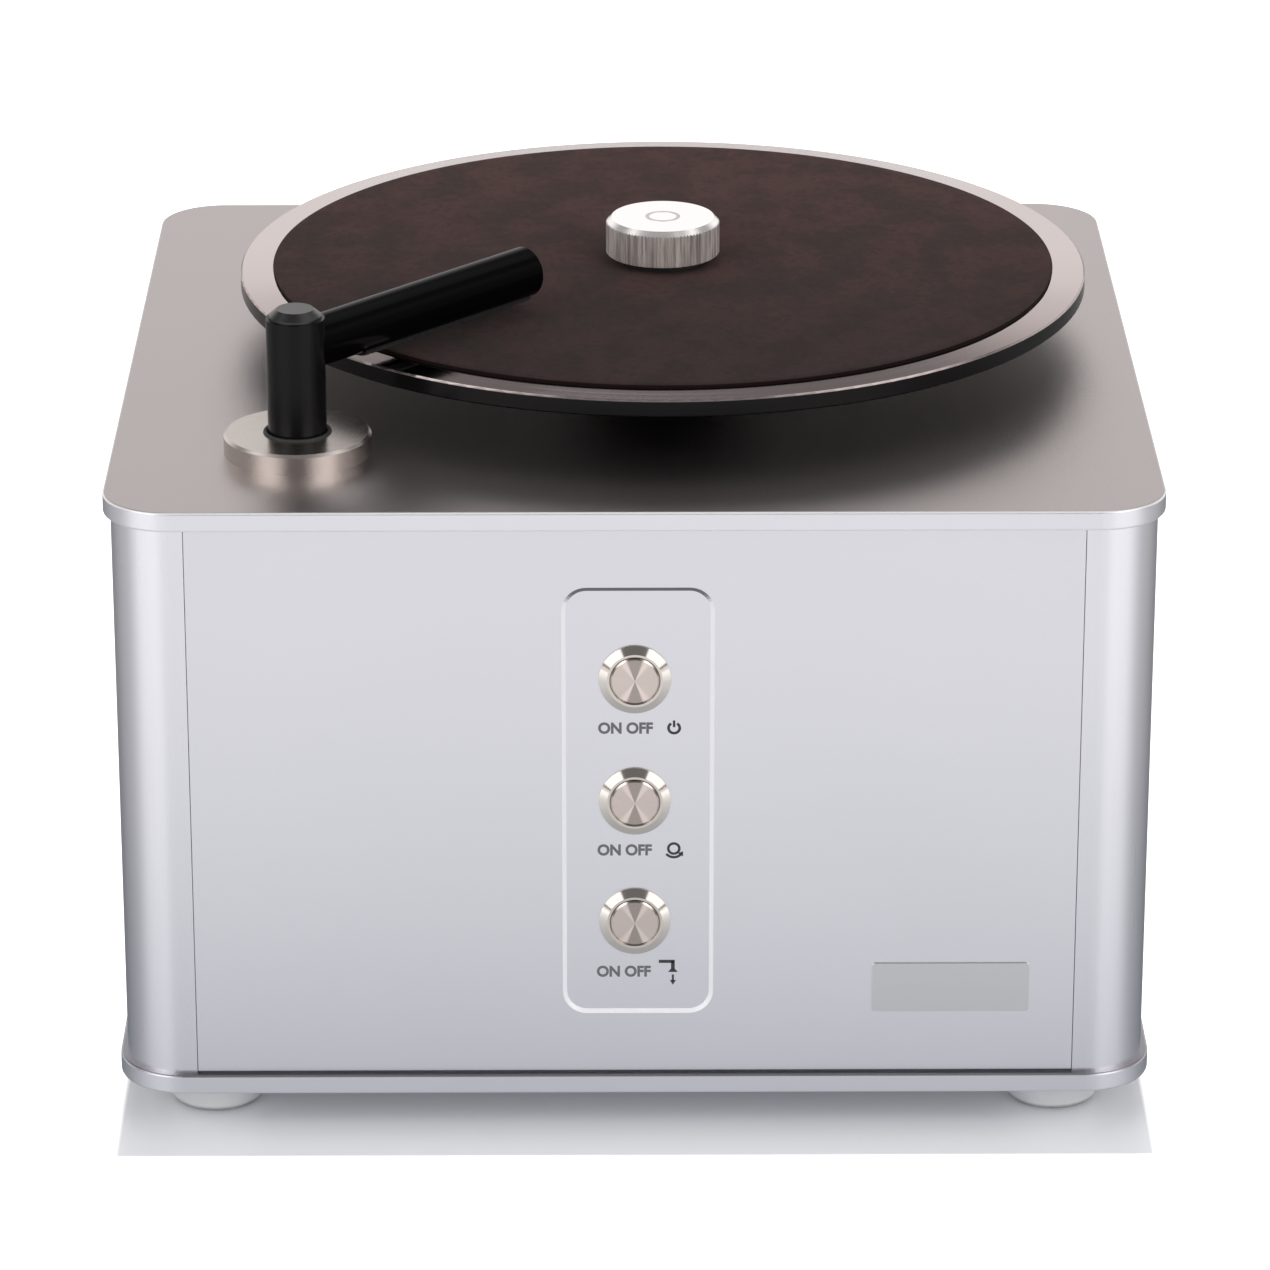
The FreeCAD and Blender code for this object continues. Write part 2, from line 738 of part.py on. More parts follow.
def switch(i, name):
    """A metal push-button housing: sloping bezel, threaded bush and a closed can behind the panel."""
    well = "bezel_height - switch_well"
    end = "-switch_bush_length - switch_can_length"
    body = turned("switch_" + name, [
        ("0", end),
        ("switch_can_radius", end),
        ("switch_can_radius", "-switch_bush_length"),
        ("switch_bush_radius", "-switch_bush_length"),
        ("switch_bush_radius", "0"),
        ("bezel_radius", "0"),
        ("bezel_radius", "bezel_edge"),
        ("bezel_radius - bezel_slope", "bezel_height"),
        ("button_radius + running_play + bezel_lip", "bezel_height"),
        ("button_radius + running_play", "bezel_height - bezel_lip"),
        ("button_radius + running_play", well),
        ("0", well),
    ])
    return place(body, "0", "recess_floor_y", switch_level(i), "90", (1, 0, 0))


def button(i, name):
    """The plunger in a switch, standing a little out of its bezel."""
    body = turned("button_" + name, [
        ("0", "-button_depth"),
        ("button_radius", "-button_depth"),
        ("button_radius", "button_stand - button_bevel"),
        ("button_radius - button_bevel", "button_stand"),
        ("0", "button_stand"),
    ])
    return place(body, "0", "recess_floor_y", switch_level(i), "90", (1, 0, 0))


def switch_nuts():
    """The hexagon nuts that hold the switches to the back of the front panel."""
    nuts = []
    for i, name in enumerate(SWITCHES):
        blank = doc.addObject("Part::Prism", "nut_blank_" + name)
        blank.Polygon = 6
        bind(blank, Circumradius="nut_flats / sqrt(3)", Height="nut_height")
        bore = doc.addObject("Part::Cylinder", "nut_bore_" + name)
        bind(bore, Radius="switch_bush_radius + bush_play", Height="nut_height")
        nut = doc.addObject("Part::Cut", "nut_" + name)
        nut.Base, nut.Tool = blank, bore
        nuts.append(place(nut, "0", "front_y + panel_thick + nut_height", switch_level(i), "90", (1, 0, 0)))
    return group("switch_nuts", nuts)


# Platter, its bearing and its drive: levels are counted from the top of the top plate

def on_axis(body):
    return place(body, "spindle_x", "axis_y", "deck_z")


def platter():
    """The platter: a disc with eased edges on a flared hub that sits on the shaft."""
    under = "platter_top - platter_thick"
    return on_axis(turned("platter", [
        ("shaft_radius", "hub_base"),
        ("hub_radius", "hub_base"),
        ("hub_radius", "%s - hub_flare" % under),
        ("hub_radius + hub_flare", under),
        ("platter_radius - platter_bevel", under),
        ("platter_radius", "%s + platter_bevel" % under),
        ("platter_radius", "platter_top - platter_bevel"),
        ("platter_radius - platter_bevel", "platter_top"),
        ("spindle_radius", "platter_top"),
        ("spindle_radius", "platter_top - shaft_cover"),
        ("shaft_radius", "platter_top - shaft_cover"),
    ]))


def platter_mat():
    return on_axis(tube("platter_mat", "mat_radius", "spindle_radius + running_play", "platter_top",
                        "mat_top", "mat_bevel"))


def spindle():
    """The shaft, with the thin spindle that centres a record and takes the clamp at its top."""
    low = "-pulley_drop - pulley_hub_length / 2"
    tip = "clamp_base + spindle_stand"
    return on_axis(turned("spindle", [
        ("0", low),
        ("shaft_radius", low),
        ("shaft_radius", "platter_top - shaft_cover"),
        ("spindle_radius", "platter_top - shaft_cover"),
        ("spindle_radius", "%s - spindle_nose" % tip),
        ("spindle_radius - spindle_nose", tip),
        ("0", tip),
    ]))


def bearing_housing():
    """The bearing's housing: a nose in the top plate's hole, a flange under it and a long tube."""
    under = "-plate_thick - bearing_flange_thick"
    return on_axis(turned("bearing_housing", [
        ("bush_radius", "bearing_base"),
        ("bearing_radius", "bearing_base"),
        ("bearing_radius", under),
        ("bearing_flange_radius", under),
        ("bearing_flange_radius", "-plate_thick"),
        ("nose_radius", "-plate_thick"),
        ("nose_radius", "nose_stand"),
        ("bush_radius", "nose_stand"),
    ]))


def pulley(name, radius, bore, hub):
    """A flat-belt pulley: rim with two small flanges, thin web and hub."""
    low, high = "pulley_base", "pulley_head"
    lip, edge = "%s + pulley_lip" % radius, "pulley_flange"
    inner = "%s - pulley_rim" % radius
    web_low, web_high = "-pulley_drop - pulley_web / 2", "-pulley_drop + pulley_web / 2"
    hub_low, hub_high = "-pulley_drop - pulley_hub_length / 2", "-pulley_drop + pulley_hub_length / 2"
    rim = [
        (lip, low),
        (lip, "%s + %s" % (low, edge)),
        (radius, "%s + %s + pulley_lip / 2" % (low, edge)),
        (radius, "%s - %s - pulley_lip / 2" % (high, edge)),
        (lip, "%s - %s" % (high, edge)),
        (lip, high),
    ]
    if not hub:
        return turned(name, [(bore, low)] + rim + [(bore, high)])
    return turned(name, [(bore, hub_low), (hub, hub_low), (hub, web_low), (inner, web_low), (inner, low)]
                  + rim + [(inner, high), (inner, web_high), (hub, web_high), (hub, hub_high),
                           (bore, hub_high)])


def belt_loop(margin):
    """The face inside a loop round both pulleys, a margin outside their seats."""
    first = FreeCAD.Vector(number("spindle_x"), number("axis_y"), 0)
    second = FreeCAD.Vector(number("motor_x"), number("drive_y"), 0)
    big, small = number("platter_pulley_radius") + margin, number("motor_pulley_radius") + margin
    span = (second - first).Length
    heading = math.atan2(second.y - first.y, second.x - first.x)
    lean = math.acos((big - small) / span)

    def spot(middle, radius, angle):
        return middle + FreeCAD.Vector(math.cos(angle), math.sin(angle), 0) * radius

    left, right = heading + lean, heading - lean
    edges = [
        Part.LineSegment(spot(first, big, right), spot(second, small, right)).toShape(),
        Part.Arc(spot(second, small, right), spot(second, small, heading), spot(second, small, left)).toShape(),
        Part.LineSegment(spot(second, small, left), spot(first, big, left)).toShape(),
        Part.Arc(spot(first, big, left), spot(first, big, heading + math.pi), spot(first, big, right)).toShape(),
    ]
    return Part.Face(Part.Wire(edges))


def drive_belt():
    """The flat belt: straight between the pulleys and round each of them."""
    play, thick = number("belt_play"), number("belt_thick")
    band = belt_loop(play + thick).cut(belt_loop(play))
    height = number("belt_width")
    shape = band.extrude(FreeCAD.Vector(0, 0, height))
    shape.translate(FreeCAD.Vector(0, 0, number("deck_z - pulley_drop - belt_width / 2")))
    return solid("drive_belt", shape.Solids[0])


def motor_bracket():
    """A folded bracket under the top plate, with the motor standing on its floor."""
    half, wall = "motor_radius + bracket_play", "bracket_thick"
    low, high = "bracket_base", "-plate_thick"
    wide, foot_end = "%s + %s" % (half, wall), "%s + %s + bracket_foot" % (half, wall)
    outline = [
        ("-(%s)" % foot_end, high), ("-(%s)" % foot_end, "%s - %s" % (high, wall)),
        ("-(%s)" % wide, "%s - %s" % (high, wall)), ("-(%s)" % wide, low),
        (wide, low), (wide, "%s - %s" % (high, wall)),
        (foot_end, "%s - %s" % (high, wall)), (foot_end, high), (half, high),
        (half, "%s + %s" % (low, wall)), ("-(%s)" % half, "%s + %s" % (low, wall)),
        ("-(%s)" % half, high),
    ]
    body = new_body("motor_bracket")
    pad(body, draw(body, "XZ", [outline], level="-bracket_depth / 2"), "bracket_depth")
    hole = [("0", "0", "motor_boss_radius + running_play")]
    pocket(body, draw(body, "XY", circles=hole))
    return place(body, "motor_x", "drive_y", "deck_z")


def gear_motor():
    """The platter's geared motor, its boss down through the bracket round the shaft."""
    floor = "bracket_base + bracket_thick"
    top = "%s + motor_length" % floor
    bore = "motor_shaft_radius + bush_play"
    return place(turned("gear_motor", [
        (bore, "bracket_base"),
        ("motor_boss_radius", "bracket_base"),
        ("motor_boss_radius", floor),
        ("motor_radius", floor),
        ("motor_radius", "%s - motor_boss_radius / 4" % top),
        ("motor_radius - motor_boss_radius / 4", top),
        ("0", top),
        ("0", "bracket_base + motor_shaft_hold"),
        (bore, "bracket_base + motor_shaft_hold"),
    ]), "motor_x", "drive_y", "deck_z")


# Clamp

def clamp_knob():
    """The clamp: straight flutes all round, bevelled top and bottom, and a blind hole for the spindle."""
    outer, depth = number("clamp_radius"), number("clamp_flute")
    count = 2 * int(math.pi * outer / number("clamp_flute_pitch"))
    ring = []
    for i in range(2 * count):
        radius = outer - depth * (i % 2)
        angle = math.pi * i / count
        ring.append(FreeCAD.Vector(radius * math.cos(angle), radius * math.sin(angle), 0))
    height = number("clamp_height")
    fluted = Part.Face(Part.makePolygon(ring + ring[:1])).extrude(FreeCAD.Vector(0, 0, height))
    bevel, heel = number("clamp_bevel"), number("clamp_heel")
    bore, well = number("spindle_radius + running_play"), height - number("clamp_roof")
    past = outer + depth
    profile = [(bore, 0), (outer - heel, 0), (past, heel + depth), (past, height - bevel - depth),
               (outer - bevel, height), (0, height), (0, well), (bore, well)]
    points = [FreeCAD.Vector(radius, 0, level) for radius, level in profile]
    blank = Part.Face(Part.makePolygon(points + points[:1]))
    blank = blank.revolve(FreeCAD.Vector(), FreeCAD.Vector(0, 0, 1), 360)
    thing = solid("clamp_knob", blank.common(fluted).Solids[0])
    return place(thing, "spindle_x", "axis_y", "deck_z + clamp_base")


# Suction arm: levels are counted from the top of the top plate

def at_post(body, turn="0"):
    return place(body, "arm_x", "post_y", "deck_z", turn)


def arm_flange():
    """The round trim flange, stepped inside for the sleeve and the seal ring."""
    sink = "flange_height - seal_sink"
    return at_post(turned("arm_flange", [
        ("sleeve_radius + bush_play", "0"),
        ("flange_radius", "0"),
        ("flange_radius", "flange_height - flange_bevel"),
        ("flange_radius - flange_bevel", "flange_height"),
        ("sleeve_bore + 2 * seal_wire", "flange_height"),
        ("sleeve_bore + 2 * seal_wire", sink),
        ("sleeve_bore", sink),
        ("sleeve_bore", "sleeve_reach"),
        ("sleeve_radius + bush_play", "sleeve_reach"),
    ]))


def arm_seal_ring():
    ring = doc.addObject("Part::Torus", "arm_seal_ring")
    bind(ring, Radius1="sleeve_bore + seal_wire", Radius2="seal_wire")
    return place(ring, "arm_x", "post_y", "deck_z + flange_height - seal_sink + seal_wire")


def arm_sleeve():
    """The sleeve under the top plate that guides the post, closed below, with a barb at its side."""
    low, under = "-sleeve_depth", "-plate_thick"
    body = turned("arm_sleeve", [
        ("0", low),
        ("sleeve_radius", low),
        ("sleeve_radius", "%s - collar_thick" % under),
        ("collar_radius", "%s - collar_thick" % under),
        ("collar_radius", under),
        ("sleeve_radius", under),
        ("sleeve_radius", "sleeve_reach"),
        ("0", "sleeve_reach"),
    ])
    spot = [("0", "barb_level", "barb_radius")]
    pad(body, draw(body, "XZ", circles=spot), "sleeve_radius + barb_length", back=True)
    floor = "%s + sleeve_floor" % low
    groove(body, [("0", floor), ("sleeve_bore", floor), ("sleeve_bore", "sleeve_reach"), ("0", "sleeve_reach")])
    pocket(body, draw(body, "XZ", circles=[("0", "barb_level", "barb_bore")]), back=False)
    return at_post(body)


def arm_spring():
    """The coil spring that holds the arm up off the record."""
    floor = number("sleeve_floor - sleeve_depth + spring_wire")
    top = number("-post_depth - seat_thick - spring_wire")
    radius, wire = number("spring_radius"), number("spring_wire")
    turns = number("spring_turns")
    path = Part.makeHelix((top - floor) / turns, top - floor, radius)
    corners_of_wire = [
        FreeCAD.Vector(radius + wire * math.cos(angle), 0, wire * math.sin(angle))
        for angle in (math.pi / 4 * (i + 0.5) for i in range(9))
    ]
    coil = Part.Wire(path.Edges).makePipeShell([Part.makePolygon(corners_of_wire)], True, True)
    thing = solid("arm_spring", coil)
    return place(thing, "arm_x", "post_y", "deck_z + sleeve_floor - sleeve_depth + spring_wire")


def arm_post():
    """The hollow post, with a hole in its side where the arm's tube joins it."""
    body = tube("arm_post", "post_radius", "post_bore", "-post_depth", "post_top")
    side = draw(body, "YZ", circles=[("0", "arm_height", "tube_bore")])
    pocket(body, side, "2 * post_radius", back=True)
    return at_post(body, "arm_heading")


def arm_cap():
    """The tapered cap that closes the post's top."""
    return at_post(turned("arm_cap", [
        ("0", "post_top - cap_plug"),
        ("post_bore", "post_top - cap_plug"),
        ("post_bore", "post_top"),
        ("post_radius - cap_step", "post_top"),
        ("post_radius - cap_step", "post_top + cap_band"),
        ("cap_face_radius", "post_top + cap_height"),
        ("0", "post_top + cap_height"),
    ]))


def arm_tube():
    """The arm's tube: saddled against the post, with the suction slot along its underside."""
    body = new_body("arm_tube")
    rings = [("0", "arm_height", "arm_tube_radius"), ("0", "arm_height", "tube_bore")]
    pad(body, draw(body, "YZ", circles=rings), "tube_end")
    pocket(body, draw(body, "XY", circles=[("0", "0", "post_radius")], level="arm_height + 2 * arm_tube_radius"))
    pocket(body, draw(body, "XY", [slot_outline()], level="arm_height"), "2 * arm_tube_radius")
    return at_post(body, "arm_heading")


def slot_outline():
    """The suction slot, seen from above, in the arm's own directions."""
    half = "slot_width / 2"
    return [("slot_start", "-" + half), ("slot_end", "-" + half), ("slot_end", half), ("slot_start", half)]


def suction_lips():
    """The soft pad under the tube, open along the slot."""
    body = new_body("suction_lips")
    outer, inner = "(arm_tube_radius + lips_thick)", "arm_tube_radius"
    across, down = "sin(lips_angle * 1 deg)", "cos(lips_angle * 1 deg)"
    arc = [
        ("-%s * %s" % (outer, across), "arm_height - %s * %s" % (outer, down)),
        ("%s * %s" % (outer, across), "arm_height - %s * %s" % (outer, down), outer, 1),
        ("%s * %s" % (inner, across), "arm_height - %s * %s" % (inner, down)),
        ("-%s * %s" % (inner, across), "arm_height - %s * %s" % (inner, down), inner, -1),
    ]
    pad(body, draw(body, "YZ", [arc], level="slot_start - lips_border"),
        "slot_end - slot_start + 2 * lips_border")
    pocket(body, draw(body, "XY", [slot_outline()], level="arm_height"), "2 * arm_tube_radius")
    return at_post(body, "arm_heading")


def arm_end_plug():
    """The bevelled plug in the far end of the arm's tube."""
    spigot = "tube_end - end_plug_spigot"
    body = new_body("arm_end_plug")
    outline = [
        (spigot, "arm_height"),
        ("arm_length", "arm_height"),
        ("arm_length", "arm_height + arm_tube_radius - end_plug_bevel"),
        ("arm_length - end_plug_bevel", "arm_height + arm_tube_radius"),
        ("tube_end", "arm_height + arm_tube_radius"),
        ("tube_end", "arm_height + tube_bore"),
        (spigot, "arm_height + tube_bore"),
    ]
    sketch = draw(body, "XZ", [outline])
    axis = sketch.addGeometry(Part.LineSegment(FreeCAD.Vector(0, number("arm_height"), 0),
                                               FreeCAD.Vector(number("arm_length"), number("arm_height"), 0)), True)
    sketch.addConstraint(Sketcher.Constraint("Horizontal", axis))
    sketch.addConstraint(Sketcher.Constraint("PointOnObject", axis, 1, -2))
    rule = sketch.addConstraint(Sketcher.Constraint("DistanceY", -1, 1, axis, 1, number("arm_height")))
    sketch.setExpression("Constraints[%d]" % rule, formula("arm_height"))
    rule = sketch.addConstraint(Sketcher.Constraint("DistanceX", -1, 1, axis, 2, number("arm_length")))
    sketch.setExpression("Constraints[%d]" % rule, formula("arm_length"))
    step = body.newObject("PartDesign::Revolution", "arm_end_plug_turn")
    step.Profile = sketch
    step.ReferenceAxis = (sketch, ["Axis0"])
    step.Angle = 360
    doc.recompute()
    return at_post(body, "arm_heading")


# Waste tank, hoses, vacuum motor and drain tap

def waste_tank():
    """The open waste tank with round corners and a spigot low in its back wall."""
    body = new_body("waste_tank")
    pad(body, draw(body, "XY", [round_outline("tank_width", "tank_depth", "tank_round")]), "tank_height")
    spigot = [("0", "drain_height", "barb_radius")]
    pad(body, draw(body, "XZ", circles=spigot, level="-tank_depth / 2"), "barb_length", back=True)
    inside = [text + " - 2 * tank_wall" for text in ("tank_width", "tank_depth")]
    hollow = round_outline(inside[0], inside[1], "tank_round - tank_wall")
    pocket(body, draw(body, "XY", [hollow], level="tank_height"), "tank_height - tank_wall")
    pocket(body, draw(body, "XZ", circles=[("0", "drain_height", "barb_bore")], level="0"))
    return place(body, "tank_x", "tank_mid_y", "floor_z")


def tank_lid():
    """The tank's lid: a rebate inside the walls and a spigot for each hose."""
    body = new_body("tank_lid")
    wide = [text + " + 2 * lid_lip" for text in ("tank_width", "tank_depth")]
    pad(body, draw(body, "XY", [round_outline(wide[0], wide[1], "tank_round + lid_lip")]), "lid_thick")
    narrow = [text + " - 2 * tank_wall - 4 * running_play" for text in ("tank_width", "tank_depth")]
    rebate = round_outline(narrow[0], narrow[1], "tank_round - tank_wall - 2 * running_play")
    pad(body, draw(body, "XY", [rebate]), "lid_rebate", back=True)
    spots = (("inlet_lid_x", "inlet_lid_y", "barb_radius", "barb_bore"),
             ("outlet_lid_x", "outlet_lid_y", "outlet_radius", "outlet_bore"))
    spigots = [spot[:3] for spot in spots]
    pad(body, draw(body, "XY", circles=spigots, level="lid_thick"), "spigot_length")
    bores = [spot[:2] + spot[3:] for spot in spots]
    pocket(body, draw(body, "XY", circles=bores, level="lid_thick + spigot_length"))
    return place(body, "tank_x", "tank_mid_y", "tank_top_z")


def bent_hose(name, route, bore):
    """A hose along straight runs joined by tangent arcs, as two nested pipes."""
    bend = number("hose_bend")
    edges, start = [], route[0]
    for before, corner, after in zip(route, route[1:], route[2:]):
        back, ahead = (before - corner).normalize(), (after - corner).normalize()
        turn = math.pi - back.getAngle(ahead)
        cut = bend * math.tan(turn / 2)
        enter, leave = corner + back * cut, corner + ahead * cut
        middle = (back + ahead).normalize() * (bend / math.cos(turn / 2) - bend)
        edges.append(Part.LineSegment(start, enter).toShape())
        edges.append(Part.Arc(enter, corner + middle, leave).toShape())
        start = leave
    edges.append(Part.LineSegment(start, route[-1]).toShape())
    path = Part.Wire(edges)
    heading = (route[1] - route[0]).normalize()
    pipes = []
    for radius in (bore + number("hose_wall"), bore):
        ring = Part.Wire(Part.makeCircle(radius, route[0], heading))
        pipes.append(path.makePipeShell([ring], True, True))
    return solid(name, pipes[0].cut(pipes[1]).Solids[0])


def point(x, y, z):
    return FreeCAD.Vector(number(x), number(y), number(z))


def suction_hose():
    """From the sleeve's barb back and down to the tank's lid."""
    level = "deck_z + barb_level"
    end = "lid_top_z + spigot_length - hose_overlap"
    route = [
        point("arm_x", "post_y + sleeve_radius + barb_length - hose_overlap", level),
        point("arm_x", "tank_mid_y + inlet_lid_y", level),
        point("arm_x", "tank_mid_y + inlet_lid_y", end),
    ]
    return bent_hose("suction_hose", route, number("barb_radius + running_play"))


def vacuum_hose():
    """Up from the tank's lid, across and down to the vacuum motor's inlet."""
    high = "lid_top_z + vacuum_hose_rise"
    outlet_x, outlet_y = "tank_x + outlet_lid_x", "tank_mid_y + outlet_lid_y"
    fan_inlet = "floor_z + vacuum_mount_thick + vacuum_can_height + vacuum_fan_height"
    route = [
        point(outlet_x, outlet_y, "lid_top_z + spigot_length - hose_overlap"),
        point(outlet_x, outlet_y, high),
        point("vacuum_x", "fan_y", high),
        point("vacuum_x", "fan_y", fan_inlet + " + spigot_length - hose_overlap"),
    ]
    return bent_hose("vacuum_hose", route, number("outlet_radius + running_play"))


def at_fan(body):
    return place(body, "vacuum_x", "fan_y", "floor_z")


def vacuum_mount():
    """The soft ring that the vacuum motor stands on."""
    return at_fan(tube("vacuum_mount", "vacuum_mount_radius", "vacuum_can_radius / 2", "0",
                       "vacuum_mount_thick"))


def vacuum_motor():
    """The vacuum motor: a can, a wider fan housing with round edges and the inlet on top."""
    low, waist = "vacuum_mount_thick", "vacuum_mount_thick + vacuum_can_height"
    top = "%s + vacuum_fan_height" % waist
    tip = "%s + spigot_length" % top
    return at_fan(turned("vacuum_motor", [
        ("0", low),
        ("vacuum_can_radius - vacuum_round", low),
        ("vacuum_can_radius", "%s + vacuum_round" % low, "vacuum_round", 1),
        ("vacuum_can_radius", waist),
        ("vacuum_fan_radius - vacuum_round", waist),
        ("vacuum_fan_radius", "%s + vacuum_round" % waist, "vacuum_round", 1),
        ("vacuum_fan_radius", "%s - vacuum_round" % top),
        ("vacuum_fan_radius - vacuum_round", top, "vacuum_round", 1),
        ("outlet_radius", top),
        ("outlet_radius", tip),
        ("outlet_bore", tip),
        ("outlet_bore", "%s - vacuum_fan_height / 2" % top),
        ("0", "%s - vacuum_fan_height / 2" % top),
    ]))


def at_drain(body):
    return place(body, "tank_x", "back_y", "drain_z")


def drain_body():
    """The drain tap's body: tail inside, flange on the panel, and a spout that points down behind it."""
    inner = "-panel_thick"
    body = turned("drain_body", [
        ("0", "-drain_tail"),
        ("barb_radius", "-drain_tail"),
        ("barb_radius", inner),
        ("drain_thread", inner),
        ("drain_thread", "0"),
        ("drain_flange_radius", "0"),
        ("drain_flange_radius", "drain_flange_thick"),
        ("drain_radius", "drain_flange_thick"),
        ("drain_radius", "drain_length"),
        ("0", "drain_length"),
    ], plane="XY")
    pad(body, draw(body, "XY", circles=[("0", "drain_spout_place", "barb_radius")]), "drain_spout", back=True)
    pad(body, draw(body, "XY", circles=[("0", "drain_spout_place", "drain_shoulder_radius")]), "drain_shoulder",
        back=True)
    chamber = "drain_plug_radius + bush_play"
    groove(body, [
        ("0", "-drain_tail"),
        ("barb_bore", "-drain_tail"),
        ("barb_bore", "drain_flange_thick"),
        (chamber, "drain_flange_thick"),
        (chamber, "drain_length"),
        ("0", "drain_length"),
    ], plane="XY")
    pocket(body, draw(body, "XY", circles=[("0", "drain_spout_place", "barb_bore")]))
    return at_drain(body)


def drain_plug():
    """The tap's plug with its cross port, head and lever; shut with the lever level."""
    front = "drain_flange_thick + lever_gap"
    seat, back = "drain_length + lever_gap", "drain_length + lever_gap + lever_head"
    body = turned("drain_plug", [
        ("0", front),
        ("drain_plug_radius", front),
        ("drain_plug_radius", seat),
        ("lever_head_radius", seat),
        ("lever_head_radius", back),
        ("0", back),
    ], plane="XY")
    lever = [
        ("0", "lever_head_radius"),
        ("-lever_head_radius", "0", "lever_head_radius", 1),
        ("0", "-lever_head_radius", "lever_head_radius", 1),
        ("lever_length - lever_width / 2", "-lever_width / 2"),
        ("lever_length", "0", "lever_width / 2", 1),
        ("lever_length - lever_width / 2", "lever_width / 2", "lever_width / 2", 1),
    ]
    pad(body, draw(body, "XZ", [lever], level="-(%s)" % back), "lever_thick", back=True)
    groove(body, [("0", front), ("barb_bore", front), ("barb_bore", "drain_spout_place"),
                  ("0", "drain_spout_place")], plane="XY")
    cross = draw(body, "YZ", circles=[("drain_spout_place", "0", "barb_bore")])
    pocket(body, cross, "2 * drain_plug_radius", back=True)
    return at_drain(body)


def drain_hose():
    """The short straight hose from the tank's spigot to the tap's tail."""
    route = [
        point("tank_x", "tank_back_y + hose_end_gap", "drain_z"),
        point("tank_x", "back_y - panel_thick - hose_end_gap", "drain_z"),
    ]
    bore, wall = number("barb_radius + running_play"), number("hose_wall")
    length, heading = (route[1] - route[0]).Length, FreeCAD.Vector(0, 1, 0)
    outer = Part.makeCylinder(bore + wall, length, route[0], heading)
    return solid("drain_hose", outer.cut(Part.makeCylinder(bore, length, route[0], heading)))


# Mains inlet and board

def power_inlet():
    """The three-pin inlet: flange on the panel, a socket with two cut corners and its blades."""
    body = new_body("power_inlet")
    flange = round_outline("mains_flange_width", "mains_flange_height", "mains_round")
    pad(body, draw(body, "XZ", [flange]), "mains_flange_thick")
    pad(body, draw(body, "XZ", [box_outline("mains_body_width", "mains_body_height")]), "mains_body_depth",
        back=True)
    half, tall = "socket_width / 2", "socket_height / 2"
    socket = [
        ("-" + half, "-" + tall),
        (half, "-" + tall),
        (half, tall + " - socket_corner"),
        (half + " - socket_corner", tall),
        ("-" + half + " + socket_corner", tall),
        ("-" + half, tall + " - socket_corner"),
    ]
    pocket(body, draw(body, "XZ", [socket], level="mains_flange_thick"), "socket_depth")
    blades = [
        box_outline("blade_width", "blade_height", "%d * blade_pitch" % side, "%d * blade_width" % rise)
        for side, rise in ((-1, -1), (0, 1), (1, -1))
    ]
    root = "mains_flange_thick - socket_depth"
    pad(body, draw(body, "XZ", blades, level=root), "blade_length")
    return place(body, "mains_x", "back_y", "mains_z", "180")


def power_board():
    """The board with its transformer and the four posts it stands on, as one piece."""
    board = doc.addObject("Part::Box", "board_plate")
    bind(board, Length="board_width", Width="board_depth", Height="board_thick")
    place(board, "-board_width / 2", "-board_depth / 2", "board_rise")
    block = doc.addObject("Part::Box", "board_transformer")
    bind(block, Length="transformer_width", Width="transformer_depth", Height="transformer_height")
    place(block, "-board_width / 2 + board_post_inset + 2 * board_post_radius", "-transformer_depth / 2",
          "board_rise + board_thick")
    pieces = [board, block]
    inset = "board_post_inset"
    for i, (x, y) in enumerate(corners("board_width / 2 - " + inset, "board_depth / 2 - " + inset)):
        post = doc.addObject("Part::Cylinder", "board_post_%d" % (i + 1))
        bind(post, Radius="board_post_radius", Height="board_rise")
        pieces.append(place(post, x, y))
    whole = doc.addObject("Part::MultiFuse", "power_board")
    whole.Shapes = pieces
    return place(whole, "board_x", "board_mid_y", "floor_z")


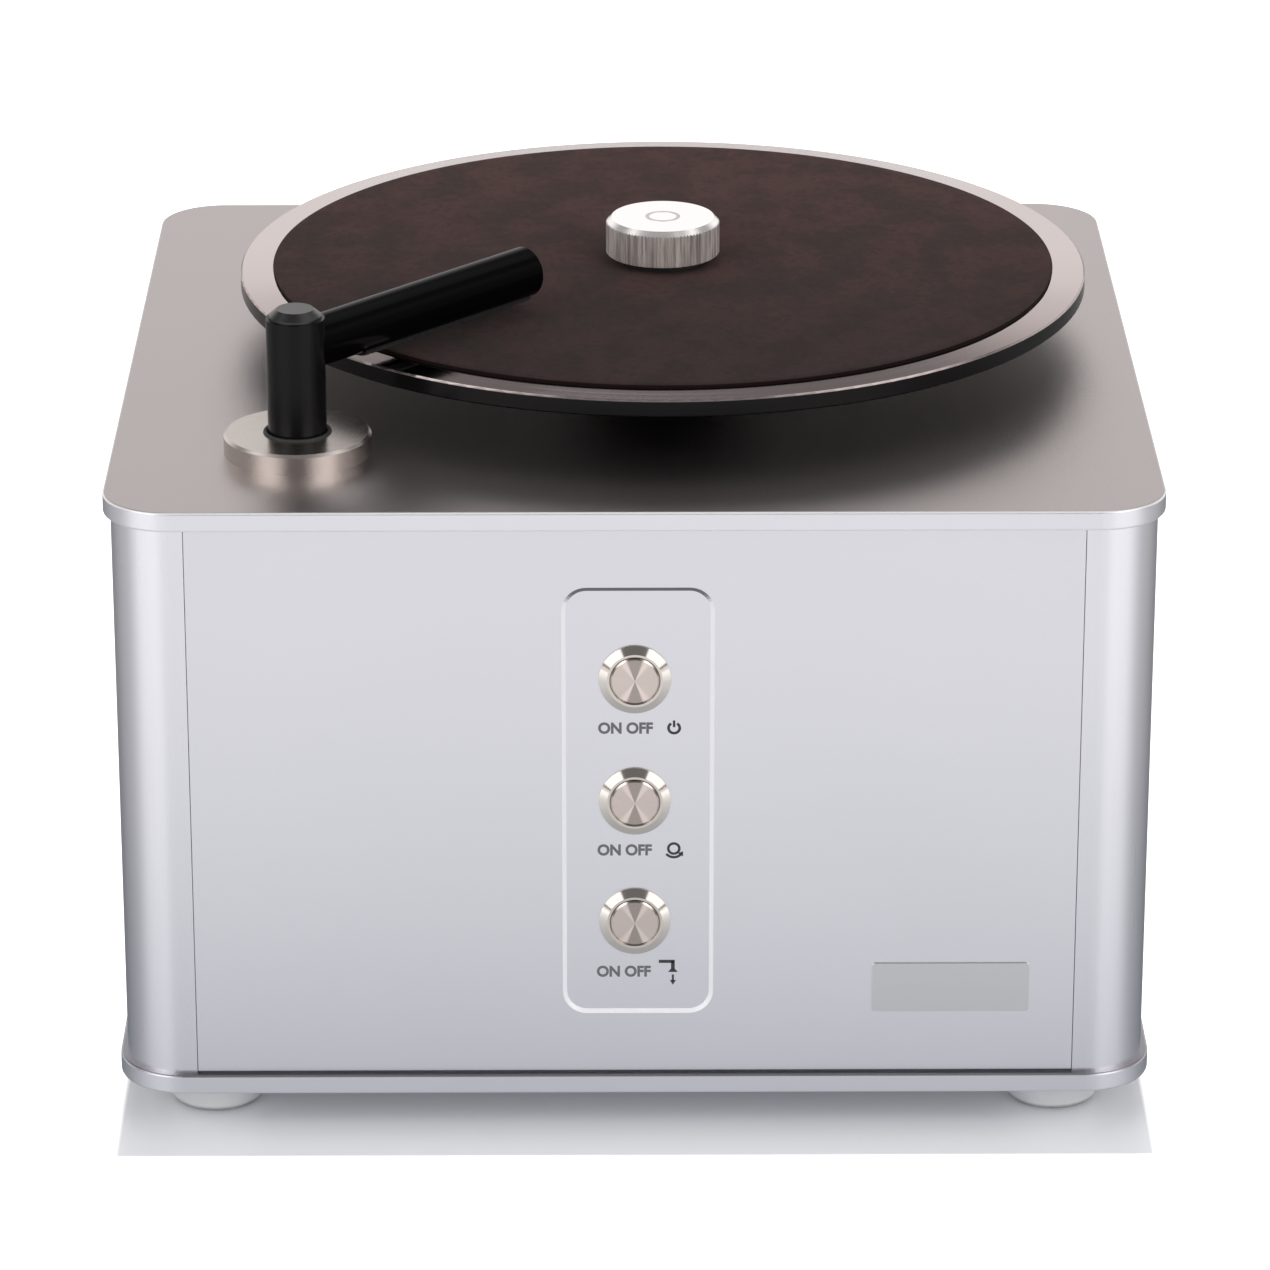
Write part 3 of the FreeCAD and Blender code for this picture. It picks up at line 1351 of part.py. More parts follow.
def build():
    """Makes every node, in the order they go together."""
    nodes = [bottom_plate()]
    spots = ((0, "-case_x", "- case_y"), (1, "case_x", "- case_y"), (2, "case_x", "+ case_y"),
             (3, "-case_x", "+ case_y"))
    nodes += [corner_post(CORNER_NAMES[i], x, y, str(90 * i)) for i, x, y in spots]
    nodes += [
        front_panel(),
        rear_panel(),
        side_panel("left_panel", "-case_x + panel_thick", "-90"),
        side_panel("right_panel", "case_x - panel_thick", "90"),
        top_plate(),
        tie_bolts(),
    ]
    nodes += [foot(name, x, y) for name, (x, y) in zip(CORNER_NAMES, corners("foot_x", "foot_y"))]
    nodes.append(foot_screws())
    for i, name in enumerate(SWITCHES):
        nodes += [switch(i, name), button(i, name)]
    nodes.append(switch_nuts())
    nodes += [platter(), platter_mat(), spindle(), bearing_housing()]
    nodes.append(on_axis(tube("bush_upper", "bush_radius", "bush_bore", "nose_stand - bush_length", "nose_stand")))
    nodes.append(on_axis(tube("bush_lower", "bush_radius", "bush_bore", "bearing_base",
                              "bearing_base + bush_length")))
    nodes.append(on_axis(tube("thrust_washer", "washer_radius", "bush_bore", "nose_stand",
                              "hub_base - bush_play")))
    nodes.append(on_axis(pulley("platter_pulley", "platter_pulley_radius", "shaft_radius",
                                "pulley_hub_radius")))
    small = pulley("motor_pulley", "motor_pulley_radius", "motor_shaft_radius", None)
    nodes.append(place(small, "motor_x", "drive_y", "deck_z"))
    shaft = tube("motor_shaft", "motor_shaft_radius", "0", "pulley_base",
                 "bracket_base + motor_shaft_hold - bush_play")
    nodes.append(place(shaft, "motor_x", "drive_y", "deck_z"))
    nodes += [drive_belt(), motor_bracket(), gear_motor()]
    nodes.append(on_axis(tube("clamp_pad", "clamp_radius - clamp_pad_inset", "spindle_radius + running_play",
                              "mat_top", "clamp_base")))
    nodes.append(clamp_knob())
    nodes += [arm_flange(), arm_seal_ring(), arm_sleeve(), arm_spring()]
    nodes.append(at_post(tube("arm_spring_seat", "post_radius", "seat_hole", "-post_depth - seat_thick",
                              "-post_depth")))
    nodes += [arm_post(), arm_cap(), arm_tube(), arm_end_plug(), suction_lips()]
    nodes += [waste_tank(), tank_lid(), suction_hose(), vacuum_hose(), vacuum_mount(), vacuum_motor()]
    nodes += [drain_body(), drain_plug(), drain_hose(), power_inlet(), power_board()]
    return nodes


nodes = build()
doc.recompute()
for thing in doc.Objects:
    if "Invalid" in thing.State or "Error" in thing.State:
        raise RuntimeError("%s did not recompute" % thing.Name)
for node in nodes:
    if node.Shape.isNull() or not node.Shape.isValid() or not node.Shape.Solids:
        raise RuntimeError("%s has no sound solid" % node.Label)

os.makedirs("parts", exist_ok=True)
for node in nodes:
    node.Shape.exportStep("parts/%s.step" % node.Label)
print("%d nodes" % len(nodes))
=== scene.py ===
"""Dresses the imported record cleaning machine: finishes for every solid, the mat, the printed marks, the bare
plate on the front, the pile of the suction lips, small screws and the studio round it."""

import math

import bmesh
import bpy
from mathutils import Matrix, Vector


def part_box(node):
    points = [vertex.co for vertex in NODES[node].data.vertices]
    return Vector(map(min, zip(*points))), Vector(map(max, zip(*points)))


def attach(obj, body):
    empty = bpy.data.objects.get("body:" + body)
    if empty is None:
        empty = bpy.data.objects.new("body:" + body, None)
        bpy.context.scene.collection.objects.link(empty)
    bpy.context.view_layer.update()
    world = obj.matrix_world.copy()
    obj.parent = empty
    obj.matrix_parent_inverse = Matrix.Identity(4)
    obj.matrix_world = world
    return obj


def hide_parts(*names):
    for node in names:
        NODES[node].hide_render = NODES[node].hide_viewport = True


bl_info = {
    "name": "Record cleaning machine",
    "version": (1, 0, 0),
    "blender": (4, 5, 0),
    "location": "3D View > Sidebar > Record cleaner",
    "description": "Finishes, soft parts, small marks and a studio for a record cleaning machine",
    "category": "Object",
}

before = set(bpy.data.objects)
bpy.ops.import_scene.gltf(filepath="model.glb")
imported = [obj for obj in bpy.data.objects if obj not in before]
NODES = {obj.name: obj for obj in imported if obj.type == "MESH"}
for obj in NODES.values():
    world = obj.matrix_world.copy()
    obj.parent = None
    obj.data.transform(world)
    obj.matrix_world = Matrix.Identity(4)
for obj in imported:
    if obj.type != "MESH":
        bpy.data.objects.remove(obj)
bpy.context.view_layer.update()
MM = 0.001


def middle(node):
    """The middle of a node's box."""
    low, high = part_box(node)
    return (low + high) / 2


AXIS = middle("platter")
POST = middle("arm_cap")
PANEL_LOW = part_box("front_panel")[0]
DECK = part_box("top_plate")[1].z
BUTTON_NODES = ("button_power", "button_platter", "button_vacuum")
CORNERS = ("front_left", "front_right", "rear_left", "rear_right")
INK_THICK = 0.04 * MM

# Each button's words: how far they lie below it, and where their middle is, in millimetres
WORD_PLACES = ((16.9, -3.0), (17.2, -3.3), (18.0, -3.6))
SIGN_X = 12.6

# Each lamp's name, place, width and power for a light of 1
LAMPS = (
    ("overhead", (0.2, 0.45, 1.6), 1.3, 7),
    ("front_left", (-1.5, -1.7, 1.7), 1.3, 13),
    ("front_right", (1.5, -1.7, 1.7), 1.3, 13),
)
LAMP_AIM = (0, 0, 0.15)
CAMERA_PLACE = (-0.0109, -1.9625, 0.8755)
CAMERA_TILT, CAMERA_TURN = 68.63, -0.35


# Colours that aren't settings, in linear light

BRIGHT_CUT = (0.90, 0.90, 0.93)
# Painted shade for cut edges that face down
PAINTED_SHADE_CUT = (0.24, 0.24, 0.26)
DECK_CUT = (0.90, 0.90, 0.91)
PLATE_GREY = (0.68, 0.68, 0.70)
FOOT_WHITE = (0.86, 0.87, 0.89)
PLATTER_SIDE = (0.006, 0.0055, 0.0062)
CLAMP_ALUMINIUM = (0.93, 0.915, 0.905)
RING_GREY = (0.60, 0.60, 0.61)
FLANGE_STEEL = (0.585, 0.535, 0.50)
CAP_STEEL = (0.71, 0.615, 0.575)
PLAIN_STEEL = (0.56, 0.55, 0.54)
SCREW_STEEL = (0.55, 0.55, 0.56)
BRONZE = (0.62, 0.42, 0.22)
RUBBER_BLACK = (0.018, 0.018, 0.018)
PLASTIC_BLACK = (0.022, 0.022, 0.023)
TANK_WHITE = (0.72, 0.73, 0.70)
BOARD_GREEN = (0.03, 0.14, 0.06)
VELVET_BLACK = (0.014, 0.014, 0.015)


# Materials


class Value:
    """A number or vector socket of a material, so that shader maths reads as an expression."""

    def __init__(self, paint, socket):
        self.paint = paint
        self.socket = socket

    def math(self, operation, *others):
        inputs = dict(enumerate((self,) + others))
        return self.paint.add("ShaderNodeMath", {"operation": operation}, inputs)

    def __add__(self, other):
        return self.math("ADD", other)

    __radd__ = __add__

    def __sub__(self, other):
        return self.math("SUBTRACT", other)

    def __rsub__(self, other):
        return self.paint.add("ShaderNodeMath", {"operation": "SUBTRACT"}, {0: other, 1: self})

    def __mul__(self, other):
        return self.math("MULTIPLY", other)

    __rmul__ = __mul__

    def __truediv__(self, other):
        return self.math("DIVIDE", other)

    def __pow__(self, other):
        return self.math("POWER", other)

    def __abs__(self):
        return self.math("ABSOLUTE")

    def between(self, low, high):
        """0 below low, 1 above high and smooth between."""
        settings = {"interpolation_type": "SMOOTHSTEP"}
        inputs = {"Value": self, "From Min": low, "From Max": high}
        return self.paint.add("ShaderNodeMapRange", settings, inputs)

    def band(self, rise, fall):
        """1 after the ramp of rise and before the ramp of fall, 0 outside them."""
        return self.between(*rise) * (1.0 - self.between(*fall))

    def swing(self, width):
        """A noise from 0 to 1 as a swing of a width about nought."""
        return (self - 0.5) * width


class Tree:
    """A node tree that is filled by one method for every kind of node."""

    def __init__(self, tree):
        self.tree = tree

    def add(self, kind, settings=None, inputs=None, out=0):
        """A node of a type, with its settings and its sockets' values or links; gives one output."""
        node = self.tree.nodes.new(kind)
        for name, setting in (settings or {}).items():
            setattr(node, name, setting)
        for name, entry in (inputs or {}).items():
            self.feed(node.inputs[name], entry)
        return Value(self, node.outputs[out])

    def feed(self, socket, entry):
        """Links a value to a socket, or sets the socket to a number or colour."""
        if isinstance(entry, Value):
            self.tree.links.new(entry.socket, socket)
        else:
            socket.default_value = entry

    def split(self, vector):
        """The three parts of a vector."""
        node = self.tree.nodes.new("ShaderNodeSeparateXYZ")
        self.feed(node.inputs[0], vector)
        return [Value(self, out) for out in node.outputs]

    def join(self, x, y, z):
        return self.add("ShaderNodeCombineXYZ", inputs={0: x, 1: y, 2: z})

    def vector(self, operation, first, second):
        """Vector maths on two vectors."""
        return self.add("ShaderNodeVectorMath", {"operation": operation}, {0: first, 1: second})

    def noise(self, vector, scale, detail=2.0, roughness=0.5):
        inputs = {"Vector": vector, "Scale": scale, "Detail": detail, "Roughness": roughness}
        return self.add("ShaderNodeTexNoise", inputs=inputs)

    def grain(self, vector, scale, roughness=0.6):
        """A noise with more small detail."""
        return self.noise(vector, scale, 3.0, roughness)

    def mix(self, factor, first, second):
        """A colour between two colours."""
        rows = {0: factor}
        for index, entry in ((6, first), (7, second)):
            rows[index] = entry if isinstance(entry, Value) else tuple(entry) + (1.0,)
        return self.add("ShaderNodeMix", {"data_type": "RGBA"}, rows, out=2)

    def shades(self, factor, colour, low, high):
        """A colour between two shades of one colour."""
        return self.mix(factor, tint(colour, low), tint(colour, high))


class Paint(Tree):
    """One material, with a Principled shader at its end."""

    def __init__(self, name):
        self.material = bpy.data.materials.new(name)
        self.material.use_nodes = True
        super().__init__(self.material.node_tree)
        self.shader = self.tree.nodes["Principled BSDF"]

    def set(self, **sockets):
        """Sets or links the shader's sockets; a name's underscores are the socket's spaces."""
        for name, entry in sockets.items():
            self.feed(self.shader.inputs[name.replace("_", " ")], entry)

    def place(self, origin=(0, 0, 0), scale=(1, 1, 1)):
        """Object coordinates in millimetres, counted from a point of the object and stretched."""
        point = self.add("ShaderNodeTexCoord", out="Object")
        moved = self.vector("SUBTRACT", point, tuple(origin))
        return self.vector("MULTIPLY", moved, tuple(s / MM for s in scale))

    def lean(self, axis):
        """How far the surface faces along an axis of the object, -1 to 1."""
        return self.split(self.add("ShaderNodeNewGeometry", out="True Normal"))[axis]

    def upward(self):
        """1 where the surface faces up, 0 on its sides."""
        return self.lean(2).between(0.5, 0.8)

    def bump(self, height, distance):
        """A normal from a height; the distance is in millimetres."""
        return self.add("ShaderNodeBump", inputs={"Height": height, "Distance": distance * MM})

    def tilted(self, direction, slope):
        """The normal, made to lean along a direction of the object by a slope."""
        lean = self.add("ShaderNodeVectorMath", {"operation": "SCALE"}, {0: direction, "Scale": slope})
        turn = {"vector_type": "VECTOR", "convert_from": "OBJECT", "convert_to": "WORLD"}
        turned = self.add("ShaderNodeVectorTransform", turn, {0: lean})
        normal = self.add("ShaderNodeNewGeometry", out="Normal")
        leaned = self.vector("ADD", normal, turned)
        return self.add("ShaderNodeVectorMath", {"operation": "NORMALIZE"}, {0: leaned})

    def lathed(self, place, fineness, axes=(0, 1)):
        """Lathe marks round a place's origin: the distance from it, fine rings and the way outwards."""
        parts = self.split(place)
        first, second = parts[axes[0]], parts[axes[1]]
        tiny = 0.01
        radius = (first * first + second * second + tiny) ** 0.5
        outwards = [0.0, 0.0, 0.0]
        outwards[axes[0]], outwards[axes[1]] = first / radius, second / radius
        rings = self.noise(self.join(radius, 0.0, 0.0), fineness, 4.0, 0.8)
        return radius, rings, self.join(*outwards)


def tint(colour, *factors):
    """A colour times one factor, or times one for each channel."""
    return tuple(min(1.0, channel * factor) for channel, factor in zip(colour, factors * 3))


def anodised(name, colour, roughness, grain=(1, 1, 1), grain_size=0.35, depth=0.004, cut=None,
             shade_axis=None):
    """Satin anodised aluminium, its fine grain drawn out along a direction.

    Edges that lean off the cut axis are bright-cut where they face up, and carry a painted shade where they
    face down.
    Flat steps that face along the shade axis carry a painted shade, darker as if in the shadow where parts
    meet."""
    paint = Paint(name)
    fine = paint.grain(paint.place(scale=grain), 1.0 / grain_size)
    cloud = paint.noise(paint.place(), 0.012)
    body = paint.shades(cloud.between(0.3, 0.7), colour, 0.985, 1.015)
    body = paint.mix(fine.between(0.2, 0.8), tint(colour, 0.98), body)
    shine = 1.0
    if shade_axis is not None:
        # Painted shade: faces that point along the shade axis are darkened, as in the shadow where the panels
        # meet the plate.
        body = paint.mix(paint.lean(shade_axis).between(0.2, 0.6), body, tint(colour, 0.5))
    if cut is not None:
        square = abs(paint.lean(cut))
        edge = square.band((0.3, 0.5), (0.95, 0.98))
        # Down-facing edges get a painted shade in place of the bright cut.
        under = (paint.lean(2) * -1.0).between(0.15, 0.4)
        body = paint.mix(edge, body, paint.mix(under, BRIGHT_CUT, PAINTED_SHADE_CUT))
        shine = 1.0 - edge * (1.0 - under) * 0.95
    paint.set(
        Base_Color=body,
        Metallic=shine,
        Roughness=roughness + fine.swing(0.08) + cloud.swing(0.03),
        Normal=paint.bump(fine, depth),
    )
    return paint.material


def deck_metal(name, side_colour, shaded_face_colour, roughness):
    """A bead-blasted plate: a warmer face, painted darker than its bright side as shade, and a bright-cut edge
    between.
    """
    paint = Paint(name)
    place = paint.place()
    fine = paint.grain(place, 3.2)
    beads = paint.grain(place, 11.0, 0.7)
    cloud = paint.noise(place, 0.01)
    # The face is a warmer copy of the side's silver, made darker by painted shade.
    face = paint.shades(cloud.between(0.3, 0.7), shaded_face_colour, 0.98, 1.02)
    face = paint.mix(fine.between(0.2, 0.8), tint(shaded_face_colour, 0.97), face)
    lean = paint.lean(2)
    edge = abs(lean).band((0.15, 0.4), (0.85, 0.95))
    top = lean.between(0.85, 0.95)
    paint.set(
        Base_Color=paint.mix(edge, paint.mix(top, side_colour, face), DECK_CUT),
        Metallic=1.0 - edge * 0.7,
        Roughness=roughness - top * 0.02 + fine.swing(0.05) + cloud.swing(0.03),
        Normal=paint.tilted((1.0, 0.0, 0.0), top * (beads - 0.5) * 1.9),
    )
    return paint.material


def clamp_metal(name, colour):
    """The clamp: a bright turned top, a plain bevel and a satin side with upright light and dark bands painted
    on as reflections between its flutes.
    """
    paint = Paint(name)
    place = paint.place(AXIS)
    x, y, z = paint.split(place)
    rings, outwards = paint.lathed(place, 6.0)[1:]
    # Painted reflection: upright bands of light and dark down the side.
    painted_bands = paint.grain(paint.join(x, y, z * 0.06), 0.7).between(0.3, 0.7)
    top = paint.upward()
    bevel = paint.lean(2).between(0.3, 0.5) * (1.0 - top)
    side = paint.shades(painted_bands, tint(colour, 0.98, 0.92, 0.89), 0.45, 1.0)
    paint.set(
        Base_Color=paint.mix((top + bevel).math("MINIMUM", 1.0), side, colour),
        Metallic=0.7 + top * 0.3 - bevel * 0.6,
        Roughness=0.42 - top * 0.28 + rings.swing(0.06),
        Normal=paint.tilted(outwards, top * (rings - 0.5) * 0.08),
    )
    return paint.material


def turned_metal(name, colour, origin, roughness, axes=(0, 1), slope=0.04, ring=0.12):
    """Metal turned on a lathe: fine rings round an origin that lean the surface in and out."""
    paint = Paint(name)
    place = paint.place(origin)
    rings, outwards = paint.lathed(place, 1.0 / ring, axes)[1:]
    blotch = paint.noise(place, 0.05, 3.0)
    paint.set(
        Base_Color=paint.shades(rings, colour, 0.96, 1.04),
        Metallic=1.0,
        Roughness=roughness + rings.swing(0.08) + blotch.swing(0.04),
        Normal=paint.tilted(outwards, rings.swing(6.0 * slope)),
    )
    return paint.material


def cap_metal(name, colour, origin):
    """A switch's cap: a face turned in fine rings, with a painted dark wedge above and below its middle and a
    painted highlight on each side of that.
    """
    paint = Paint(name)
    place = paint.place(origin)
    x, _, z = paint.split(place)
    radius, rings, outwards = paint.lathed(place, 8.0, (0, 2))
    lean = abs(x) / radius
    ray = paint.grain(paint.join(x / radius, z / radius, 0.0), 2.2, 0.7)
    # Painted shade and highlight: the dark wedges and bright bands stand in for the reflections of the turned
    # rings.
    painted_dark_wedge = lean.between(0.28, 0.46)
    painted_highlight = lean.band((0.28, 0.46), (0.52, 0.72))
    face = paint.mix(painted_dark_wedge, tint(colour, 0.56), paint.shades(ray, colour, 0.84, 1.02))
    paint.set(
        Base_Color=paint.mix(painted_highlight, face, tint(colour, 1.16)),
        Metallic=1.0,
        Roughness=0.2 + rings.swing(0.1),
        Normal=paint.tilted(outwards, rings - 0.5),
    )
    return paint.material


def platter_metal(name, colour, side_colour):
    """The platter: a satin turned face that leans slightly outwards, a dark polished rim and underside."""
    paint = Paint(name)
    place = paint.place(AXIS)
    rings, outwards = paint.lathed(place, 6.0)[1:]
    smear = paint.noise(place, 0.03, 3.0)
    top = paint.upward()
    side = paint.shades(smear, side_colour, 0.8, 1.2)
    paint.set(
        Base_Color=paint.mix(top, side, paint.shades(rings, colour, 0.97, 1.03)),
        Metallic=top,
        Roughness=0.22 - top * 0.14 + rings.swing(0.04) + smear.swing(0.04),
        Specular_IOR_Level=0.12,
        Normal=paint.tilted(outwards, top * (0.155 + rings.swing(0.5))),
    )
    return paint.material


def black_metal(name, colour, roughness, shine):
    """Black anodised metal: satin, with a very fine grain."""
    paint = Paint(name)
    grain = paint.grain(paint.place(), 6.0)
    cloud = paint.noise(paint.place(), 0.08)
    paint.set(
        Base_Color=paint.shades(grain, colour, 0.85, 1.15),
        Roughness=roughness + grain.swing(0.08) + cloud.swing(0.06),
        Normal=paint.bump(grain, 0.003),
        Specular_IOR_Level=shine,
    )
    return paint.material


def rubber(name, colour):
    """Matt rubber or hose with a faint bloom."""
    paint = Paint(name)
    bloom = paint.noise(paint.place(), 0.25, 4.0, 0.6)
    fine = paint.noise(paint.place(), 4.0)
    paint.set(
        Base_Color=paint.shades(bloom, colour, 0.8, 1.25),
        Roughness=0.6 + bloom.swing(0.15),
        Normal=paint.bump(fine, 0.01),
    )
    return paint.material


def velvet(name, colour):
    """Short velvet pile, with a soft sheen at the fibres' tips."""
    paint = Paint(name)
    tuft = paint.grain(paint.place(), 1.8, 0.7)
    paint.set(
        Base_Color=paint.shades(tuft, colour, 0.6, 1.6),
        Roughness=0.9 + tuft.swing(0.1),
        Sheen_Weight=0.35,
        Sheen_Roughness=0.4,
        Specular_IOR_Level=0.2,
        Normal=paint.bump(tuft, 0.15),
    )
    return paint.material


def soft_foot(name, colour):
    """Pale translucent soft plastic, with a painted contact shadow where it meets the floor."""
    paint = Paint(name)
    place = paint.place()
    cloud = paint.noise(place, 0.12, 3.0)
    fine = paint.noise(place, 2.5)
    height = paint.split(place)[2]
    clean = paint.shades(cloud, colour, 0.94, 1.03)
    paint.set(
        # Painted contact shadow: the foot darkens within a few millimetres of the floor.
        Base_Color=paint.mix(height.between(0.6, 2.6), tint(colour, 0.42), clean),
        Roughness=0.38 + cloud.swing(0.1),
        Subsurface_Weight=0.35,
        Subsurface_Scale=4 * MM,
        Normal=paint.bump(fine, 0.01),
    )
    return paint.material


def felt(name, colour):
    """The mat: mottled brown-grey with rust patches and crumbs of lint, with painted light that grows towards
    the rear and a painted shade on its sides.
    """
    paint = Paint(name)
    place = paint.place(scale=(1, 0.7, 1))
    drift = paint.noise(place, 0.008).between(0.35, 0.65)
    cloud = paint.noise(place, 0.05, 4.0, 0.6).between(0.38, 0.62)
    mottle = paint.noise(place, 0.35, 4.0, 0.7)
    fibre = paint.grain(place, 2.6, 0.7)
    lint = paint.noise(place, 1.4, 1.0).between(0.66, 0.78)
    # Painted light: the colour grows lighter from the front of the mat to its rear.
    painted_light_rear = paint.split(paint.place())[1].between(-130.0, 170.0)
    olive = tint(colour, 0.92, 1.08, 1.0)
    rust = tint(colour, 1.34, 1.16, 1.17)
    body = paint.mix(drift, colour, olive)
    body = paint.mix(mottle.between(0.25, 0.75), tint(colour, 0.82), body)
    body = paint.mix(cloud, body, paint.mix(mottle.between(0.2, 0.6), body, rust))
    body = paint.vector("MULTIPLY", body, paint.mix(painted_light_rear, (0.76, 0.78, 0.78), (1.45, 1.35, 1.33)))
    body = paint.mix(lint * 0.22, body, tint(colour, 2.4))
    paint.set(
        # Painted shade: the mat's sides are made much darker than its face.
        Base_Color=paint.mix(paint.upward(), tint(colour, 0.25), body),
        Roughness=0.92 + mottle.swing(0.1),
        Specular_IOR_Level=0.04,
        Sheen_Weight=0.03,
        Sheen_Roughness=0.5,
        Normal=paint.bump(fibre * 0.5 + mottle * 0.5, 0.28),
    )
    return paint.material


def plastic(name, colour, roughness=0.45):
    """Moulded plastic with a light grain."""
    paint = Paint(name)
    fine = paint.grain(paint.place(), 1.5)
    cloud = paint.noise(paint.place(), 0.06)
    paint.set(
        Base_Color=paint.shades(cloud, colour, 0.93, 1.06),
        Roughness=roughness + fine.swing(0.12),
        Normal=paint.bump(fine, 0.012),
    )
    return paint.material


def dress(material, *nodes):
    """Puts a material on CAD nodes."""
    for node in nodes:
        mesh = NODES[node].data
        mesh.materials.clear()
        mesh.materials.append(material)


# Meshes


def new_object(name, data):
    """An object in the scene for a mesh, text, lamp or camera."""
    thing = bpy.data.objects.new(name, data)
    bpy.context.scene.collection.objects.link(thing)
    return thing


def piece(name, mesh, body, material=None):
    """A finished mesh as an object on a body, with a new material if one is given."""
    thing = new_object(name, mesh)
    if material:
        mesh.materials.clear()
        mesh.materials.append(material)
    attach(thing, body)
    return thing


def reshape(mesh, change):
    """Runs a function on a mesh's bmesh."""
    bm = bmesh.new()
    bm.from_mesh(mesh)
    change(bm)
    bm.to_mesh(mesh)
    bm.free()


def mesh_from(name, build):
    """A mesh made by a function that fills a bmesh."""
    mesh = bpy.data.meshes.new(name)
    reshape(mesh, build)
    return mesh


def smooth(mesh, angle):
    """Smooth shading, with the edges sharper than an angle kept."""

    def shade(bm):
        for face in bm.faces:
            face.smooth = True
        for edge in bm.edges:
            if len(edge.link_faces) == 2 and edge.calc_face_angle() > math.radians(angle):
                edge.smooth = False

    reshape(mesh, shade)


def face_outwards(bm):
    """Turns the faces of closed shells outwards."""
    bmesh.ops.recalc_face_normals(bm, faces=bm.faces)


def plain_mesh(thing, name):
    """An object's evaluated result as a new mesh; the object itself goes."""
    bpy.context.view_layer.update()
    graph = bpy.context.evaluated_depsgraph_get()
    mesh = bpy.data.meshes.new_from_object(thing.evaluated_get(graph))
    mesh.name = name
    bpy.data.objects.remove(thing)
    return mesh


def lathe(bm, profile, centre, steps):
    """A closed profile of (radius, height) turned about a vertical axis through a centre."""
    rings = []
    for i in range(steps):
        angle = math.tau * i / steps
        rings.append([
            bm.verts.new((centre.x + r * math.cos(angle), centre.y + r * math.sin(angle), centre.z + h))
            for r, h in profile
        ])
    for i in range(steps):
        here, ahead = rings[i], rings[(i + 1) % steps]
        for j in range(len(profile)):
            k = (j + 1) % len(profile)
            bm.faces.new((here[j], ahead[j], ahead[k], here[k]))


def recess_floor():
    """Where the recess floor lies: behind the front panel's face."""
    return PANEL_LOW.y + 0.75 * MM


def arc_points(x, z, radius, first, last, steps=28):
    """Points along an arc, its angles in degrees from +X."""
    spots = []
    for i in range(steps + 1):
        angle = math.radians(first + (last - first) * i / steps)
        spots.append((x + radius * math.cos(angle), z + radius * math.sin(angle)))
    return spots


def stroke(points, width):
    """The four-cornered patches of a line of (x, z) points drawn with a pen, its ends cut square."""
    left, right = [], []
    for i, spot in enumerate(points):
        before = points[max(i - 1, 0)]
        after = points[min(i + 1, len(points) - 1)]
        run = Vector((after[0] - before[0], after[1] - before[1])).normalized() * (width / 2)
        left.append((spot[0] - run.y, spot[1] + run.x))
        right.append((spot[0] + run.y, spot[1] - run.x))
    return [(left[i], left[i + 1], right[i + 1], right[i]) for i in range(len(points) - 1)]


def printed(name, patches, material):
    """A printed sign on the recess floor, from flat (x, z) patches in millimetres."""
    floor = recess_floor()

    def build(bm):
        for patch in patches:
            front = [bm.verts.new((x * MM, floor - INK_THICK, z * MM)) for x, z in patch]
            back = [bm.verts.new((x * MM, floor + INK_THICK, z * MM)) for x, z in patch]
            bm.faces.new(front)
            bm.faces.new(back[::-1])
            for i in range(len(patch)):
                k = (i + 1) % len(patch)
                bm.faces.new((front[i], back[i], back[k], front[k]))
        face_outwards(bm)

    return piece(name, mesh_from(name, build), "case", material)


# Settings


class CaseSettings(bpy.types.PropertyGroup):
    silver: bpy.props.FloatVectorProperty(
        name="Silver", description="Colour of the anodised case", subtype="COLOR",
        default=(0.80, 0.793, 0.848), min=0, max=1)
    # The deck colour is the silver made warmer and darker: the darkness is painted shade on the top face.
    deck: bpy.props.FloatVectorProperty(
        name="Deck", description="Colour of the top plate's upper face", subtype="COLOR",
        default=(0.486, 0.443, 0.44), min=0, max=1)
    roughness: bpy.props.FloatProperty(
        name="Roughness", description="Roughness of the anodised case", default=0.34,
        min=0, max=1, subtype="FACTOR")
    plate_width: bpy.props.FloatProperty(
        name="Plate width", description="Width of the bare plate on the front", default=51.4 * MM,
        unit="LENGTH")
    plate_height: bpy.props.FloatProperty(
        name="Plate height", description="Height of the bare plate", default=17.2 * MM, unit="LENGTH")


class MetalSettings(bpy.types.PropertyGroup):
    steel: bpy.props.FloatVectorProperty(
        name="Steel", description="Colour of the rings round the buttons", subtype="COLOR",
        default=(0.66, 0.62, 0.58), min=0, max=1)
    platter: bpy.props.FloatVectorProperty(
        name="Platter", description="Colour of the platter's turned face", subtype="COLOR",
        default=(0.50, 0.43, 0.42), min=0, max=1)
    screw_head: bpy.props.FloatProperty(
        name="Screw head", description="Width of the small rear screws' heads", default=5.0 * MM,
        unit="LENGTH")


class ArmSettings(bpy.types.PropertyGroup):
    black: bpy.props.FloatVectorProperty(
        name="Black", description="Colour of the arm", subtype="COLOR", default=(0.0045, 0.0043, 0.0052),
        min=0, max=1)
    pile: bpy.props.FloatProperty(
        name="Pile", description="Thickness of the pile on the suction lips", default=0.45 * MM,
        unit="LENGTH")
    pile_density: bpy.props.FloatProperty(
        name="Pile density", description="Fibres on a square millimetre", default=7.0, min=0)


class MatSettings(bpy.types.PropertyGroup):
    colour: bpy.props.FloatVectorProperty(
        name="Mat colour", description="Colour of the felt mat", subtype="COLOR",
        default=(0.042, 0.0275, 0.0262), min=0, max=1)
    waviness: bpy.props.FloatProperty(
        name="Waviness", description="How far the mat's face rises and falls", default=0.12 * MM,
        unit="LENGTH")


